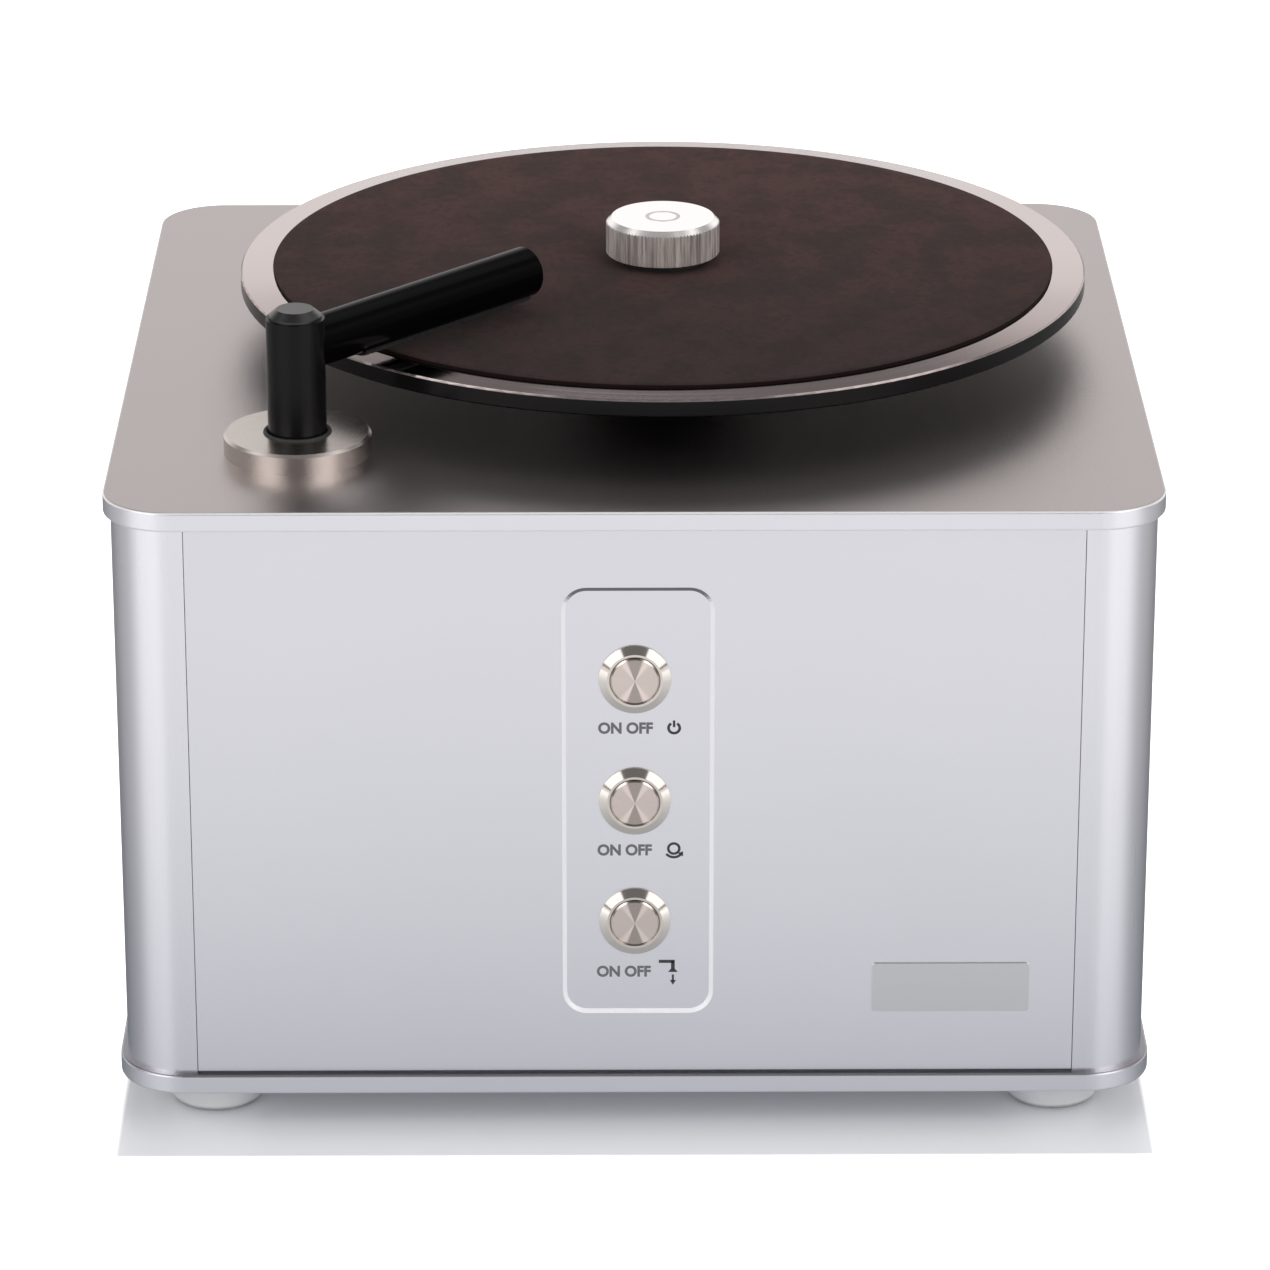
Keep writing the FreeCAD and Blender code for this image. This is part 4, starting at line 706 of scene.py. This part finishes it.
class MarkSettings(bpy.types.PropertyGroup):
    ink: bpy.props.FloatVectorProperty(
        name="Ink", description="Colour of the printed signs", subtype="COLOR",
        default=(0.035, 0.035, 0.04), min=0, max=1)
    words: bpy.props.FloatVectorProperty(
        name="Words", description="Colour of the printed words", subtype="COLOR",
        default=(0.14, 0.14, 0.155), min=0, max=1)
    height: bpy.props.FloatProperty(
        name="Letter height", description="Height of the printed letters", default=4.0 * MM, unit="LENGTH")
    width: bpy.props.FloatProperty(
        name="Word width", description="Width of the printed words", default=17.6 * MM, unit="LENGTH")


class StageSettings(bpy.types.PropertyGroup):
    lens: bpy.props.FloatProperty(
        name="Lens", description="Focal length of the camera in millimetres", default=170.8,
        unit="CAMERA")
    light: bpy.props.FloatProperty(
        name="Light", description="Strength of all the lamps", default=0.6, min=0)
    floor: bpy.props.FloatVectorProperty(
        name="Floor", description="Colour of the floor", subtype="COLOR", default=(0.84, 0.86, 0.89),
        min=0, max=1)


# Pieces


class CaseFinish(bpy.types.Operator):
    """Silver finishes for the plates, corners and panels, and the feet under them"""

    bl_idname = "record_cleaner.case_finish"
    bl_label = "Case finish"

    def execute(self, context):
        case = context.scene.record_case
        silver, rough = tuple(case.silver), case.roughness
        dress(anodised("front_silver", silver, rough, grain_size=0.3, cut=1), "front_panel")
        dress(deck_metal("deck_silver", silver, tuple(case.deck), rough - 0.03), "top_plate")
        # The bottom plate's upward faces carry a painted shade where the panels stand on it.
        base = anodised("base_silver", silver, rough - 0.04, grain_size=0.4, depth=0.002, shade_axis=2)
        dress(base, "bottom_plate")
        panel = anodised("panel_silver", silver, rough, grain_size=0.3)
        dress(panel, "rear_panel", "left_panel", "right_panel")
        drawn = (1, 1, 0.02)
        corner = anodised("corner_silver", silver, rough - 0.05, grain=drawn, grain_size=0.5, depth=0.0015)
        foot = soft_foot("soft_foot", FOOT_WHITE)
        for place in CORNERS:
            dress(corner, "corner_" + place)
            dress(foot, "foot_" + place)
        return {"FINISHED"}


class MetalFinish(bpy.types.Operator):
    """Turned and plated finishes for the platter, clamp, flange, switches and inner metal"""

    bl_idname = "record_cleaner.metal_finish"
    bl_label = "Metal finish"

    def execute(self, context):
        metal = context.scene.record_metal
        dress(platter_metal("platter_metal", tuple(metal.platter), PLATTER_SIDE), "platter")
        dress(clamp_metal("clamp_metal", CLAMP_ALUMINIUM), "clamp_knob")
        dress(turned_metal("flange_steel", FLANGE_STEEL, POST, 0.27, slope=0.05), "arm_flange")
        steel = tint(tuple(metal.steel), 1.02)
        for node in BUTTON_NODES:
            centre = middle(node)
            dress(cap_metal(node + "_steel", CAP_STEEL, centre), node)
            bezel = turned_metal(node + "_bezel", steel, centre, 0.10, axes=(0, 2), slope=0.01, ring=0.3)
            dress(bezel, node.replace("button", "switch"))
        plain = turned_metal("plain_steel", PLAIN_STEEL, AXIS, 0.3)
        dress(plain, "tie_bolts", "foot_screws", "switch_nuts", "spindle", "motor_shaft", "arm_spring",
              "arm_spring_seat", "bearing_housing", "platter_pulley", "motor_pulley", "motor_bracket",
              "gear_motor")
        bronze = turned_metal("bush_bronze", BRONZE, AXIS, 0.3)
        dress(bronze, "bush_upper", "bush_lower", "thrust_washer")
        return {"FINISHED"}


class ArmFinish(bpy.types.Operator):
    """Black finish of the arm, and rubber and plastic parts"""

    bl_idname = "record_cleaner.arm_finish"
    bl_label = "Arm and plastic finish"

    def execute(self, context):
        black = tuple(context.scene.record_arm.black)
        dress(black_metal("post_black", black, 0.26, 0.15), "arm_post")
        dress(black_metal("tube_black", tint(black, 0.4), 0.2, 0.035), "arm_tube", "arm_end_plug")
        dress(black_metal("cap_black", black, 0.3, 0.7), "arm_cap")
        soft = rubber("black_rubber", RUBBER_BLACK)
        dress(soft, "arm_seal_ring", "clamp_pad", "drive_belt", "suction_hose", "vacuum_hose",
              "vacuum_mount", "drain_hose")
        dark = plastic("black_plastic", PLASTIC_BLACK)
        dress(dark, "arm_sleeve", "power_inlet", "vacuum_motor", "drain_body", "drain_plug")
        dress(plastic("tank_plastic", TANK_WHITE, 0.4), "waste_tank", "tank_lid")
        dress(plastic("board_green", BOARD_GREEN, 0.5), "power_board")
        return {"FINISHED"}


class Mat(bpy.types.Operator):
    """The felt mat: a disc with soft edges and a slightly uneven face"""

    bl_idname = "record_cleaner.mat"
    bl_label = "Mat"

    def execute(self, context):
        mat = context.scene.record_mat
        low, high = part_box("platter_mat")
        radius, thick = (high.x - low.x) / 2, high.z - low.z
        centre = Vector((AXIS.x, AXIS.y, low.z))
        hole, flat = 3.7 * MM, radius - 0.6 * MM
        rings, steps, waves = 44, 180, 31
        face = [(hole + (flat - hole) * (i / rings) ** 0.9, thick) for i in range(rings + 1)]
        edge = [(radius - 0.18 * MM, thick - 0.16 * MM), (radius, thick - 0.55 * MM),
                (radius - 0.02 * MM, 0.45 * MM), (radius - 0.25 * MM, 0.0)]
        profile = face + edge + [(hole, 0.0)]
        mesh = mesh_from("mat_felt", lambda bm: lathe(bm, profile, centre, steps))
        for vertex in mesh.vertices:
            if vertex.co.z > low.z + thick * 0.6:
                # A slow uneven swell that never rises above the plain face.
                x, y = vertex.co.x * waves, vertex.co.y * waves
                sway = math.sin(x + 1.3 * math.sin(y)) + math.sin(1.7 * y + 0.8 * x)
                vertex.co.z -= mat.waviness * (0.5 + 0.25 * sway)
        smooth(mesh, 60)
        reshape(mesh, face_outwards)
        thing = piece("mat_felt", mesh, "platter", felt("mat_felt", tuple(mat.colour)))
        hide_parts("platter_mat")
        return {"FINISHED"}


class FrontPlate(bpy.types.Operator):
    """The bare plate at the lower right of the front panel"""

    bl_idname = "record_cleaner.front_plate"
    bl_label = "Front plate"

    def execute(self, context):
        case = context.scene.record_case
        thick, corner_round, edge_round = 0.5 * MM, 1.2 * MM, 0.15 * MM
        right, drop = 103.0 * MM, 166.0 * MM
        centre = Vector((right, PANEL_LOW.y - thick / 2, DECK - drop))
        size = Vector((case.plate_width, thick, case.plate_height))

        def build(bm):
            bmesh.ops.create_cube(bm, size=1.0)
            bmesh.ops.scale(bm, vec=size, verts=bm.verts)
            upright = [e for e in bm.edges if abs(e.verts[0].co.y - e.verts[1].co.y) > thick * 0.9]
            bmesh.ops.bevel(bm, geom=upright, offset=corner_round, segments=4, affect="EDGES", profile=0.5)
            front = [e for e in bm.edges if all(v.co.y < -thick * 0.4 for v in e.verts)]
            bmesh.ops.bevel(bm, geom=front, offset=edge_round, segments=2, affect="EDGES", profile=0.5)
            bmesh.ops.translate(bm, vec=centre, verts=bm.verts)

        mesh = mesh_from("front_plate", build)
        drawn = (0.03, 1, 1)
        material = anodised("front_plate", PLATE_GREY, 0.34, grain=drawn, grain_size=0.25, depth=0.006)
        piece("front_plate", mesh, "case", material)
        return {"FINISHED"}


class Marks(bpy.types.Operator):
    """ON OFF below each button, with a plain sign beside it"""

    bl_idname = "record_cleaner.marks"
    bl_label = "Button marks"

    def execute(self, context):
        marks = context.scene.record_marks
        ink = plastic("mark_ink", tuple(marks.ink), 0.5)
        grey = plastic("word_ink", tuple(marks.words), 0.5)
        signs = (self.power_sign, self.turn_sign, self.suction_sign)
        for node, sign, (drop, x) in zip(BUTTON_NODES, signs, WORD_PLACES):
            level = middle(node).z / MM - drop
            self.words(node.replace("button", "words"), x * MM, level * MM, marks, grey)
            printed(node.replace("button", "sign"), sign(SIGN_X, level), ink)
        return {"FINISHED"}

    def words(self, name, x, z, marks, ink):
        """ON OFF as flat letters of an even height and width."""
        text = bpy.data.curves.new(name, "FONT")
        text.body = "ON OFF"
        text.align_x = "CENTER"
        text.align_y = "CENTER"
        text.offset = 0.04
        text.extrude = 1.0
        mesh = plain_mesh(new_object(name, text), name)
        across = [v.co.x for v in mesh.vertices]
        up = [v.co.y for v in mesh.vertices]
        centre = Vector(((max(across) + min(across)) / 2, (max(up) + min(up)) / 2, 0.0))
        wide = marks.width / (max(across) - min(across))
        tall = marks.height / (max(up) - min(up))
        stand = Matrix.Rotation(math.radians(90), 4, "X")
        size = Matrix.Diagonal((wide, tall, INK_THICK, 1.0))
        place = Matrix.Translation((x, recess_floor(), z))
        mesh.transform(place @ stand @ size @ Matrix.Translation(-centre))
        piece(name, mesh, "case", ink)

    def power_sign(self, x, z):
        """A broken ring with a bar in its gap."""
        ring = arc_points(x, z, 1.8, 122, 418)
        bar = [(x, z + 0.3), (x, z + 2.6)]
        return stroke(ring, 0.9) + stroke(bar, 0.8)

    def turn_sign(self, x, z):
        """A ring over a curved arrow."""
        centre, pen = z + 0.45, 0.85
        ring = arc_points(x, centre, 1.8, 0, 360)
        arc = arc_points(x, centre, 3.05, 218, 318)
        tip = arc[-1]
        corners = ((0.75, -0.75), (0.75, 1.05), (-1.05, 0.45))
        arrow = [(tip[0] + right, tip[1] + up) for right, up in corners]
        return stroke(ring, pen) + stroke(arc, pen) + [arrow]

    def suction_sign(self, x, z):
        """A bent pipe with a nozzle, over an arrow that points down."""
        x -= 0.2
        pipe = stroke([(x - 4.6, z + 3.5), (x + 0.6, z + 3.5)], 1.1)
        bend = stroke([(x, z + 3.5), (x, z + 0.7)], 1.2)
        nozzle = [(x - 0.6, z + 0.9), (x + 0.6, z + 0.9), (x + 1.6, z - 0.3), (x - 1.6, z - 0.3)]
        stem = stroke([(x, z - 1.2), (x, z - 3.4)], 0.7)
        tip = [(x - 1.0, z - 3.2), (x + 1.0, z - 3.2), (x, z - 4.9)]
        return pipe + bend + [nozzle] + stem + [tip]


class ClampRing(bpy.types.Operator):
    """A thin plain ring inlaid in the middle of the clamp's top"""

    bl_idname = "record_cleaner.clamp_ring"
    bl_label = "Clamp ring"

    def execute(self, context):
        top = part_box("clamp_knob")[1].z
        centre = Vector((AXIS.x, AXIS.y, top))
        inner, outer, proud = 4.7 * MM, 6.0 * MM, 0.03 * MM
        profile = [(inner, -proud), (outer, -proud), (outer, proud), (inner, proud)]
        mesh = mesh_from("clamp_ring", lambda bm: lathe(bm, profile, centre, 72))
        grey = turned_metal("ring_metal", RING_GREY, AXIS, 0.3, slope=0.05)
        piece("clamp_ring", mesh, "clamp_knob", grey)
        return {"FINISHED"}


# Geometry Nodes


class Builder:
    """A Geometry Nodes tree, filled by one method for every kind of node, with named inputs."""

    def __init__(self, name):
        self.tree = bpy.data.node_groups.new(name, "GeometryNodeTree")
        self.tree.interface.new_socket("Geometry", in_out="INPUT", socket_type="NodeSocketGeometry")
        self.tree.interface.new_socket("Geometry", in_out="OUTPUT", socket_type="NodeSocketGeometry")
        self.start = self.tree.nodes.new("NodeGroupInput")
        self.end = self.tree.nodes.new("NodeGroupOutput")
        self.names = {}

    def number(self, name, default):
        """A named input of the tree."""
        socket = self.tree.interface.new_socket(name, in_out="INPUT", socket_type="NodeSocketFloat")
        socket.default_value = default
        self.names[name] = socket.identifier
        return self.start.outputs[name]

    def add(self, kind, settings=None, inputs=None):
        node = self.tree.nodes.new(kind)
        for name, setting in (settings or {}).items():
            setattr(node, name, setting)
        for name, entry in (inputs or {}).items():
            if isinstance(entry, bpy.types.NodeSocket):
                self.tree.links.new(entry, node.inputs[name])
            else:
                node.inputs[name].default_value = entry
        return node

    def finish(self, instances, material):
        """Makes the instances real, gives them their material and ends the tree."""
        real = self.add("GeometryNodeRealizeInstances", inputs={"Geometry": instances})
        inputs = {"Geometry": real.outputs[0], "Material": material}
        painted = self.add("GeometryNodeSetMaterial", inputs=inputs)
        self.tree.links.new(painted.outputs[0], self.end.inputs[0])

    def grow(self, name, mesh, sizes):
        """The tree's result on a mesh, with its inputs set, as a plain mesh."""
        thing = new_object(name, mesh)
        modifier = thing.modifiers.new(name, "NODES")
        modifier.node_group = self.tree
        for size, value in sizes.items():
            modifier[self.names[size]] = value
        return plain_mesh(thing, name)


def pile_tree(material):
    """Fibres that stand on a surface, leaning a little at random."""
    tree = Builder("pile")
    length = tree.number("Fibre length", 0.4 * MM)
    width = tree.number("Fibre width", 0.05 * MM)
    density = tree.number("Density", 6e6)
    cloth = tree.start.outputs["Geometry"]
    spots = tree.add("GeometryNodeDistributePointsOnFaces", inputs={
        "Mesh": cloth, "Density": density, "Seed": 11})
    fibre = tree.add("GeometryNodeMeshCone", {"fill_type": "NONE"}, {
        "Vertices": 3, "Radius Top": 0.0, "Radius Bottom": width, "Depth": length})
    most, full_turn = 0.35, 6.28
    lean = tree.add("FunctionNodeRandomValue", {"data_type": "FLOAT_VECTOR"}, {
        0: (-most, -most, 0.0), 1: (most, most, full_turn), "Seed": 4})
    turned = tree.add("FunctionNodeRotateEuler", {"rotation_type": "EULER", "space": "LOCAL"}, {
        "Rotation": spots.outputs["Rotation"], "Rotate By": lean.outputs[0]})
    stood = tree.add("GeometryNodeInstanceOnPoints", inputs={
        "Points": spots.outputs["Points"], "Instance": fibre.outputs[0], "Rotation": turned.outputs[0]})
    both = tree.add("GeometryNodeJoinGeometry")
    tree.tree.links.new(stood.outputs[0], both.inputs[0])
    tree.tree.links.new(cloth, both.inputs[0])
    tree.finish(both.outputs[0], material)
    return tree


def screw_tree(material):
    """Raised oval heads with a cross recess, one on each point, its face to the rear."""
    tree = Builder("screws")
    head = tree.number("Head width", 5.0 * MM)
    rise = tree.number("Head height", 0.9 * MM)
    radius = tree.add("ShaderNodeMath", {"operation": "MULTIPLY"}, {0: head, 1: 0.5})
    ball = tree.add("GeometryNodeMeshUVSphere", inputs={
        "Segments": 24, "Rings": 12, "Radius": radius.outputs[0]})
    depth = tree.add("ShaderNodeMath", {"operation": "DIVIDE"}, {0: rise, 1: radius.outputs[0]})
    flat = tree.add("ShaderNodeCombineXYZ", inputs={0: 1.0, 1: 1.0, 2: depth.outputs[0]})
    dome = tree.add("GeometryNodeTransform", inputs={"Geometry": ball.outputs[0], "Scale": flat.outputs[0]})
    # A slot's length, width and depth over the head's width
    shares = (0.52, 0.12, 0.30)
    cuts = []
    for turn in (0.0, math.pi / 2):
        slot_size = tree.add("ShaderNodeCombineXYZ")
        for index, share in enumerate(shares):
            part = tree.add("ShaderNodeMath", {"operation": "MULTIPLY"}, {0: head, 1: share})
            tree.tree.links.new(part.outputs[0], slot_size.inputs[index])
        slot = tree.add("GeometryNodeMeshCube", inputs={"Size": slot_size.outputs[0]})
        lifted = tree.add("ShaderNodeCombineXYZ", inputs={2: rise})
        cuts.append(tree.add("GeometryNodeTransform", inputs={
            "Geometry": slot.outputs[0], "Translation": lifted.outputs[0], "Rotation": (0.0, 0.0, turn)}))
    cross = tree.add("GeometryNodeMeshBoolean", {"operation": "DIFFERENCE", "solver": "EXACT"}, {
        "Mesh 1": dome.outputs[0]})
    for cut in cuts:
        tree.tree.links.new(cut.outputs[0], cross.inputs["Mesh 2"])
    placed = tree.add("GeometryNodeInstanceOnPoints", inputs={
        "Points": tree.start.outputs["Geometry"], "Instance": cross.outputs["Mesh"],
        "Rotation": (-math.pi / 2, 0.0, 0.0)})
    tree.finish(placed.outputs[0], material)
    return tree


class SuctionLips(bpy.types.Operator):
    """The velvet lips under the arm, each a soft strip with a short pile"""

    bl_idname = "record_cleaner.suction_lips"
    bl_label = "Suction lips"

    def execute(self, context):
        arm = context.scene.record_arm
        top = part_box("suction_lips")[1].z
        weld, flat, band, root = 0.005 * MM, 0.02, 0.6 * MM, 0.75

        def shrink(bm):
            bm.from_mesh(NODES["suction_lips"].data)
            bmesh.ops.remove_doubles(bm, verts=bm.verts, dist=weld)
            bmesh.ops.dissolve_limit(bm, angle_limit=flat, verts=bm.verts, edges=bm.edges)
            face_outwards(bm)
            # The strip shrinks by most of its pile, except where the arm holds its top.
            held = {v: v.co.z for v in bm.verts if v.co.z > top - band}
            for vertex in bm.verts:
                vertex.co -= vertex.normal * arm.pile * root
            for vertex, level in held.items():
                vertex.co.z = level

        mesh = mesh_from("suction_lips_pile", shrink)
        tree = pile_tree(velvet("velvet", VELVET_BLACK))
        density = arm.pile_density / MM**2
        sizes = {"Fibre length": arm.pile * 0.9, "Fibre width": 0.05 * MM, "Density": density}
        furry = tree.grow("suction_lips_pile", mesh, sizes)
        thing = piece("suction_lips_pile", furry, "arm")
        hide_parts("suction_lips")
        return {"FINISHED"}


class RearScrews(bpy.types.Operator):
    """Small cross-head screws: two on the inlet's flange and six round the rear panel"""

    bl_idname = "record_cleaner.rear_screws"
    bl_label = "Rear screws"

    def execute(self, context):
        metal = context.scene.record_metal
        low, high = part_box("power_inlet")
        panel_low, panel_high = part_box("rear_panel")
        level = (low.z + high.z) / 2
        inset, edge, rise = 5.0 * MM, 7.0 * MM, 0.9 * MM
        inlet = [(x, high.y, level) for x in (low.x + inset, high.x - inset)]
        rows = (panel_low.z + edge, (panel_low.z + panel_high.z) / 2, panel_high.z - edge)
        panel = [(x, panel_high.y, z) for x in (panel_low.x + edge, panel_high.x - edge) for z in rows]
        tree = screw_tree(turned_metal("screw_steel", SCREW_STEEL, AXIS, 0.28))
        for name, spots, share in (("inlet_screws", inlet, 0.8), ("panel_screws", panel, 1.0)):
            points = bpy.data.meshes.new(name)
            points.from_pydata(spots, [], [])
            sizes = {"Head width": metal.screw_head * share, "Head height": rise}
            screws = tree.grow(name, points, sizes)
            smooth(screws, 40)
            piece(name, screws, "case")
        return {"FINISHED"}


class Stage(bpy.types.Operator):
    """Pale floor, studio world, soft lamps and the camera"""

    bl_idname = "record_cleaner.stage"
    bl_label = "Stage"

    def execute(self, context):
        stage = context.scene.record_stage
        self.floor(tuple(stage.floor))
        self.world()
        for name, place, width, power in LAMPS:
            self.lamp(name, place, width, power * stage.light)
        self.camera(stage.lens)
        context.scene.view_settings.view_transform = "Standard"
        return {"FINISHED"}

    def floor(self, colour):
        """A plain pale floor: white to the eye beyond the case's outline, shaded in what metal sees."""
        reach = 8.0

        def build(bm):
            corners = ((-1, -1), (1, -1), (1, 1), (-1, 1))
            bm.faces.new([bm.verts.new((x * reach, y * reach, 0.0)) for x, y in corners])

        mesh = mesh_from("floor", build)
        paint = Paint("floor")
        rays = ("Is Camera Ray", "Is Glossy Ray", "Is Transmission Ray")
        camera, glossy, clear = (paint.add("ShaderNodeLightPath", out=ray) for ray in rays)
        x, y, _ = paint.split(paint.place())
        side, front, back = 150.0, -155.0, 133.0
        wide = abs(x)
        across = (wide - side).math("MAXIMUM", 0.0)
        along = front - y
        # Metal sees the floor darken from the front of the case to its sides, but not right behind it.
        angle = across.math("ARCTAN2", along) * math.degrees(1)
        turn = 0.965 - angle.between(15, 55) * 0.06 - angle.between(56, 108) * 0.54
        turn = turn - angle.between(100, 150) * 0.24
        behind = y.between(140.0, 200.0) * (1.0 - wide.between(150.0, 330.0))
        turn = turn + behind * (0.92 - turn)
        # What metal sees also carries a painted shade close to the case, and darkens far away from it.
        ahead = along.math("MAXIMUM", y - back).math("MAXIMUM", 0.0)
        gap = (across * across + ahead * ahead) ** 0.5 - 20.0
        near = 0.44 + gap.between(-60, 170) * 0.22 + gap.between(60, 600) * 0.36
        far = 1.0 - gap.between(1000, 1700) * 0.7
        mirror = turn * near * far
        # The eye sees white, except under the case.
        long = abs(y + 11.0).between(179.5, 182.0)
        white = 1.0 - (1.0 - long) * (1.0 - wide.between(168.5, 171.5))
        seen = 0.07 + white * 0.93
        shown = camera * seen + (glossy + clear) * mirror
        # The painted shade near the case is cooled a little blue.
        cool = (1.0 - near) * glossy
        paint.set(
            Base_Color=paint.mix(glossy, colour, (0.05, 0.05, 0.05)),
            Roughness=0.2,
            Specular_IOR_Level=0.25,
            Emission_Color=paint.join(shown, shown + cool * 0.03, shown + cool * 0.07),
            Emission_Strength=1.0,
        )
        mesh.materials.append(paint.material)
        new_object("floor", mesh)

    def world(self):
        """White to the eye; metal sees a warm band behind, and two soft boxes and a dark gap in front."""
        world = bpy.data.worlds.new("studio")
        bpy.context.scene.world = world
        world.use_nodes = True
        sky = Tree(world.node_tree)
        camera = sky.add("ShaderNodeLightPath", out="Is Camera Ray")
        x, y, z = sky.split(sky.add("ShaderNodeTexCoord", out="Generated"))
        wide = abs(x)
        rear = 1.02 + z.between(0.10, 0.25) * 0.10 - z.between(0.31, 0.38) * 0.16
        rear = rear - z.between(0.38, 0.55) * 0.72
        boxes = wide.band((0.33, 0.37), (0.84, 0.94)) * z.band((0.02, 0.06), (0.75, 0.9))
        front = 0.20 + boxes * 1.5
        level = front + y.between(-0.05, 0.25) * (rear - front)
        warm = sky.vector("MULTIPLY", sky.join(level, level, level), (1.0, 0.975, 0.966))
        back = sky.tree.nodes["Background"]
        sky.feed(back.inputs["Color"], sky.mix(camera, warm, (1.0, 1.0, 1.0)))
        sky.feed(back.inputs["Strength"], 1.0)

    def lamp(self, name, place, width, power):
        light = bpy.data.lights.new(name, "AREA")
        light.size = width
        light.energy = power
        thing = new_object(name, light)
        thing.location = place
        aim = Vector(LAMP_AIM) - Vector(place)
        thing.rotation_mode = "QUATERNION"
        thing.rotation_quaternion = aim.to_track_quat("-Z", "Y")

    def camera(self, lens):
        data = bpy.data.cameras.new("camera")
        data.lens = lens
        data.sensor_width = 36.0
        data.clip_end = 50.0
        thing = new_object("camera", data)
        thing.location = CAMERA_PLACE
        thing.rotation_euler = (math.radians(CAMERA_TILT), 0.0, math.radians(CAMERA_TURN))
        bpy.context.scene.camera = thing


class RecordCleanerPanel(bpy.types.Panel):
    """Lists the pieces of the record cleaning machine"""

    bl_label = "Record cleaner"
    bl_idname = "VIEW3D_PT_record_cleaner"
    bl_space_type = "VIEW_3D"
    bl_region_type = "UI"
    bl_category = "Record cleaner"

    def draw(self, context):
        for operator in OPERATORS:
            self.layout.operator(operator.bl_idname)


SETTINGS = {
    "record_case": CaseSettings,
    "record_metal": MetalSettings,
    "record_arm": ArmSettings,
    "record_mat": MatSettings,
    "record_marks": MarkSettings,
    "record_stage": StageSettings,
}
OPERATORS = (
    CaseFinish, MetalFinish, ArmFinish, Mat, FrontPlate, Marks, ClampRing, SuctionLips, RearScrews, Stage)


def register():
    for name, group in SETTINGS.items():
        bpy.utils.register_class(group)
        setattr(bpy.types.Scene, name, bpy.props.PointerProperty(type=group))
    for operator in OPERATORS:
        bpy.utils.register_class(operator)
    bpy.utils.register_class(RecordCleanerPanel)


def unregister():
    bpy.utils.unregister_class(RecordCleanerPanel)
    for operator in reversed(OPERATORS):
        bpy.utils.unregister_class(operator)
    for name, group in SETTINGS.items():
        delattr(bpy.types.Scene, name)
        bpy.utils.unregister_class(group)


def main():
    """Makes every piece in order."""
    register()
    for operator in OPERATORS:
        group, name = operator.bl_idname.split(".")
        getattr(getattr(bpy.ops, group), name)()


if __name__ == "__main__":
    main()
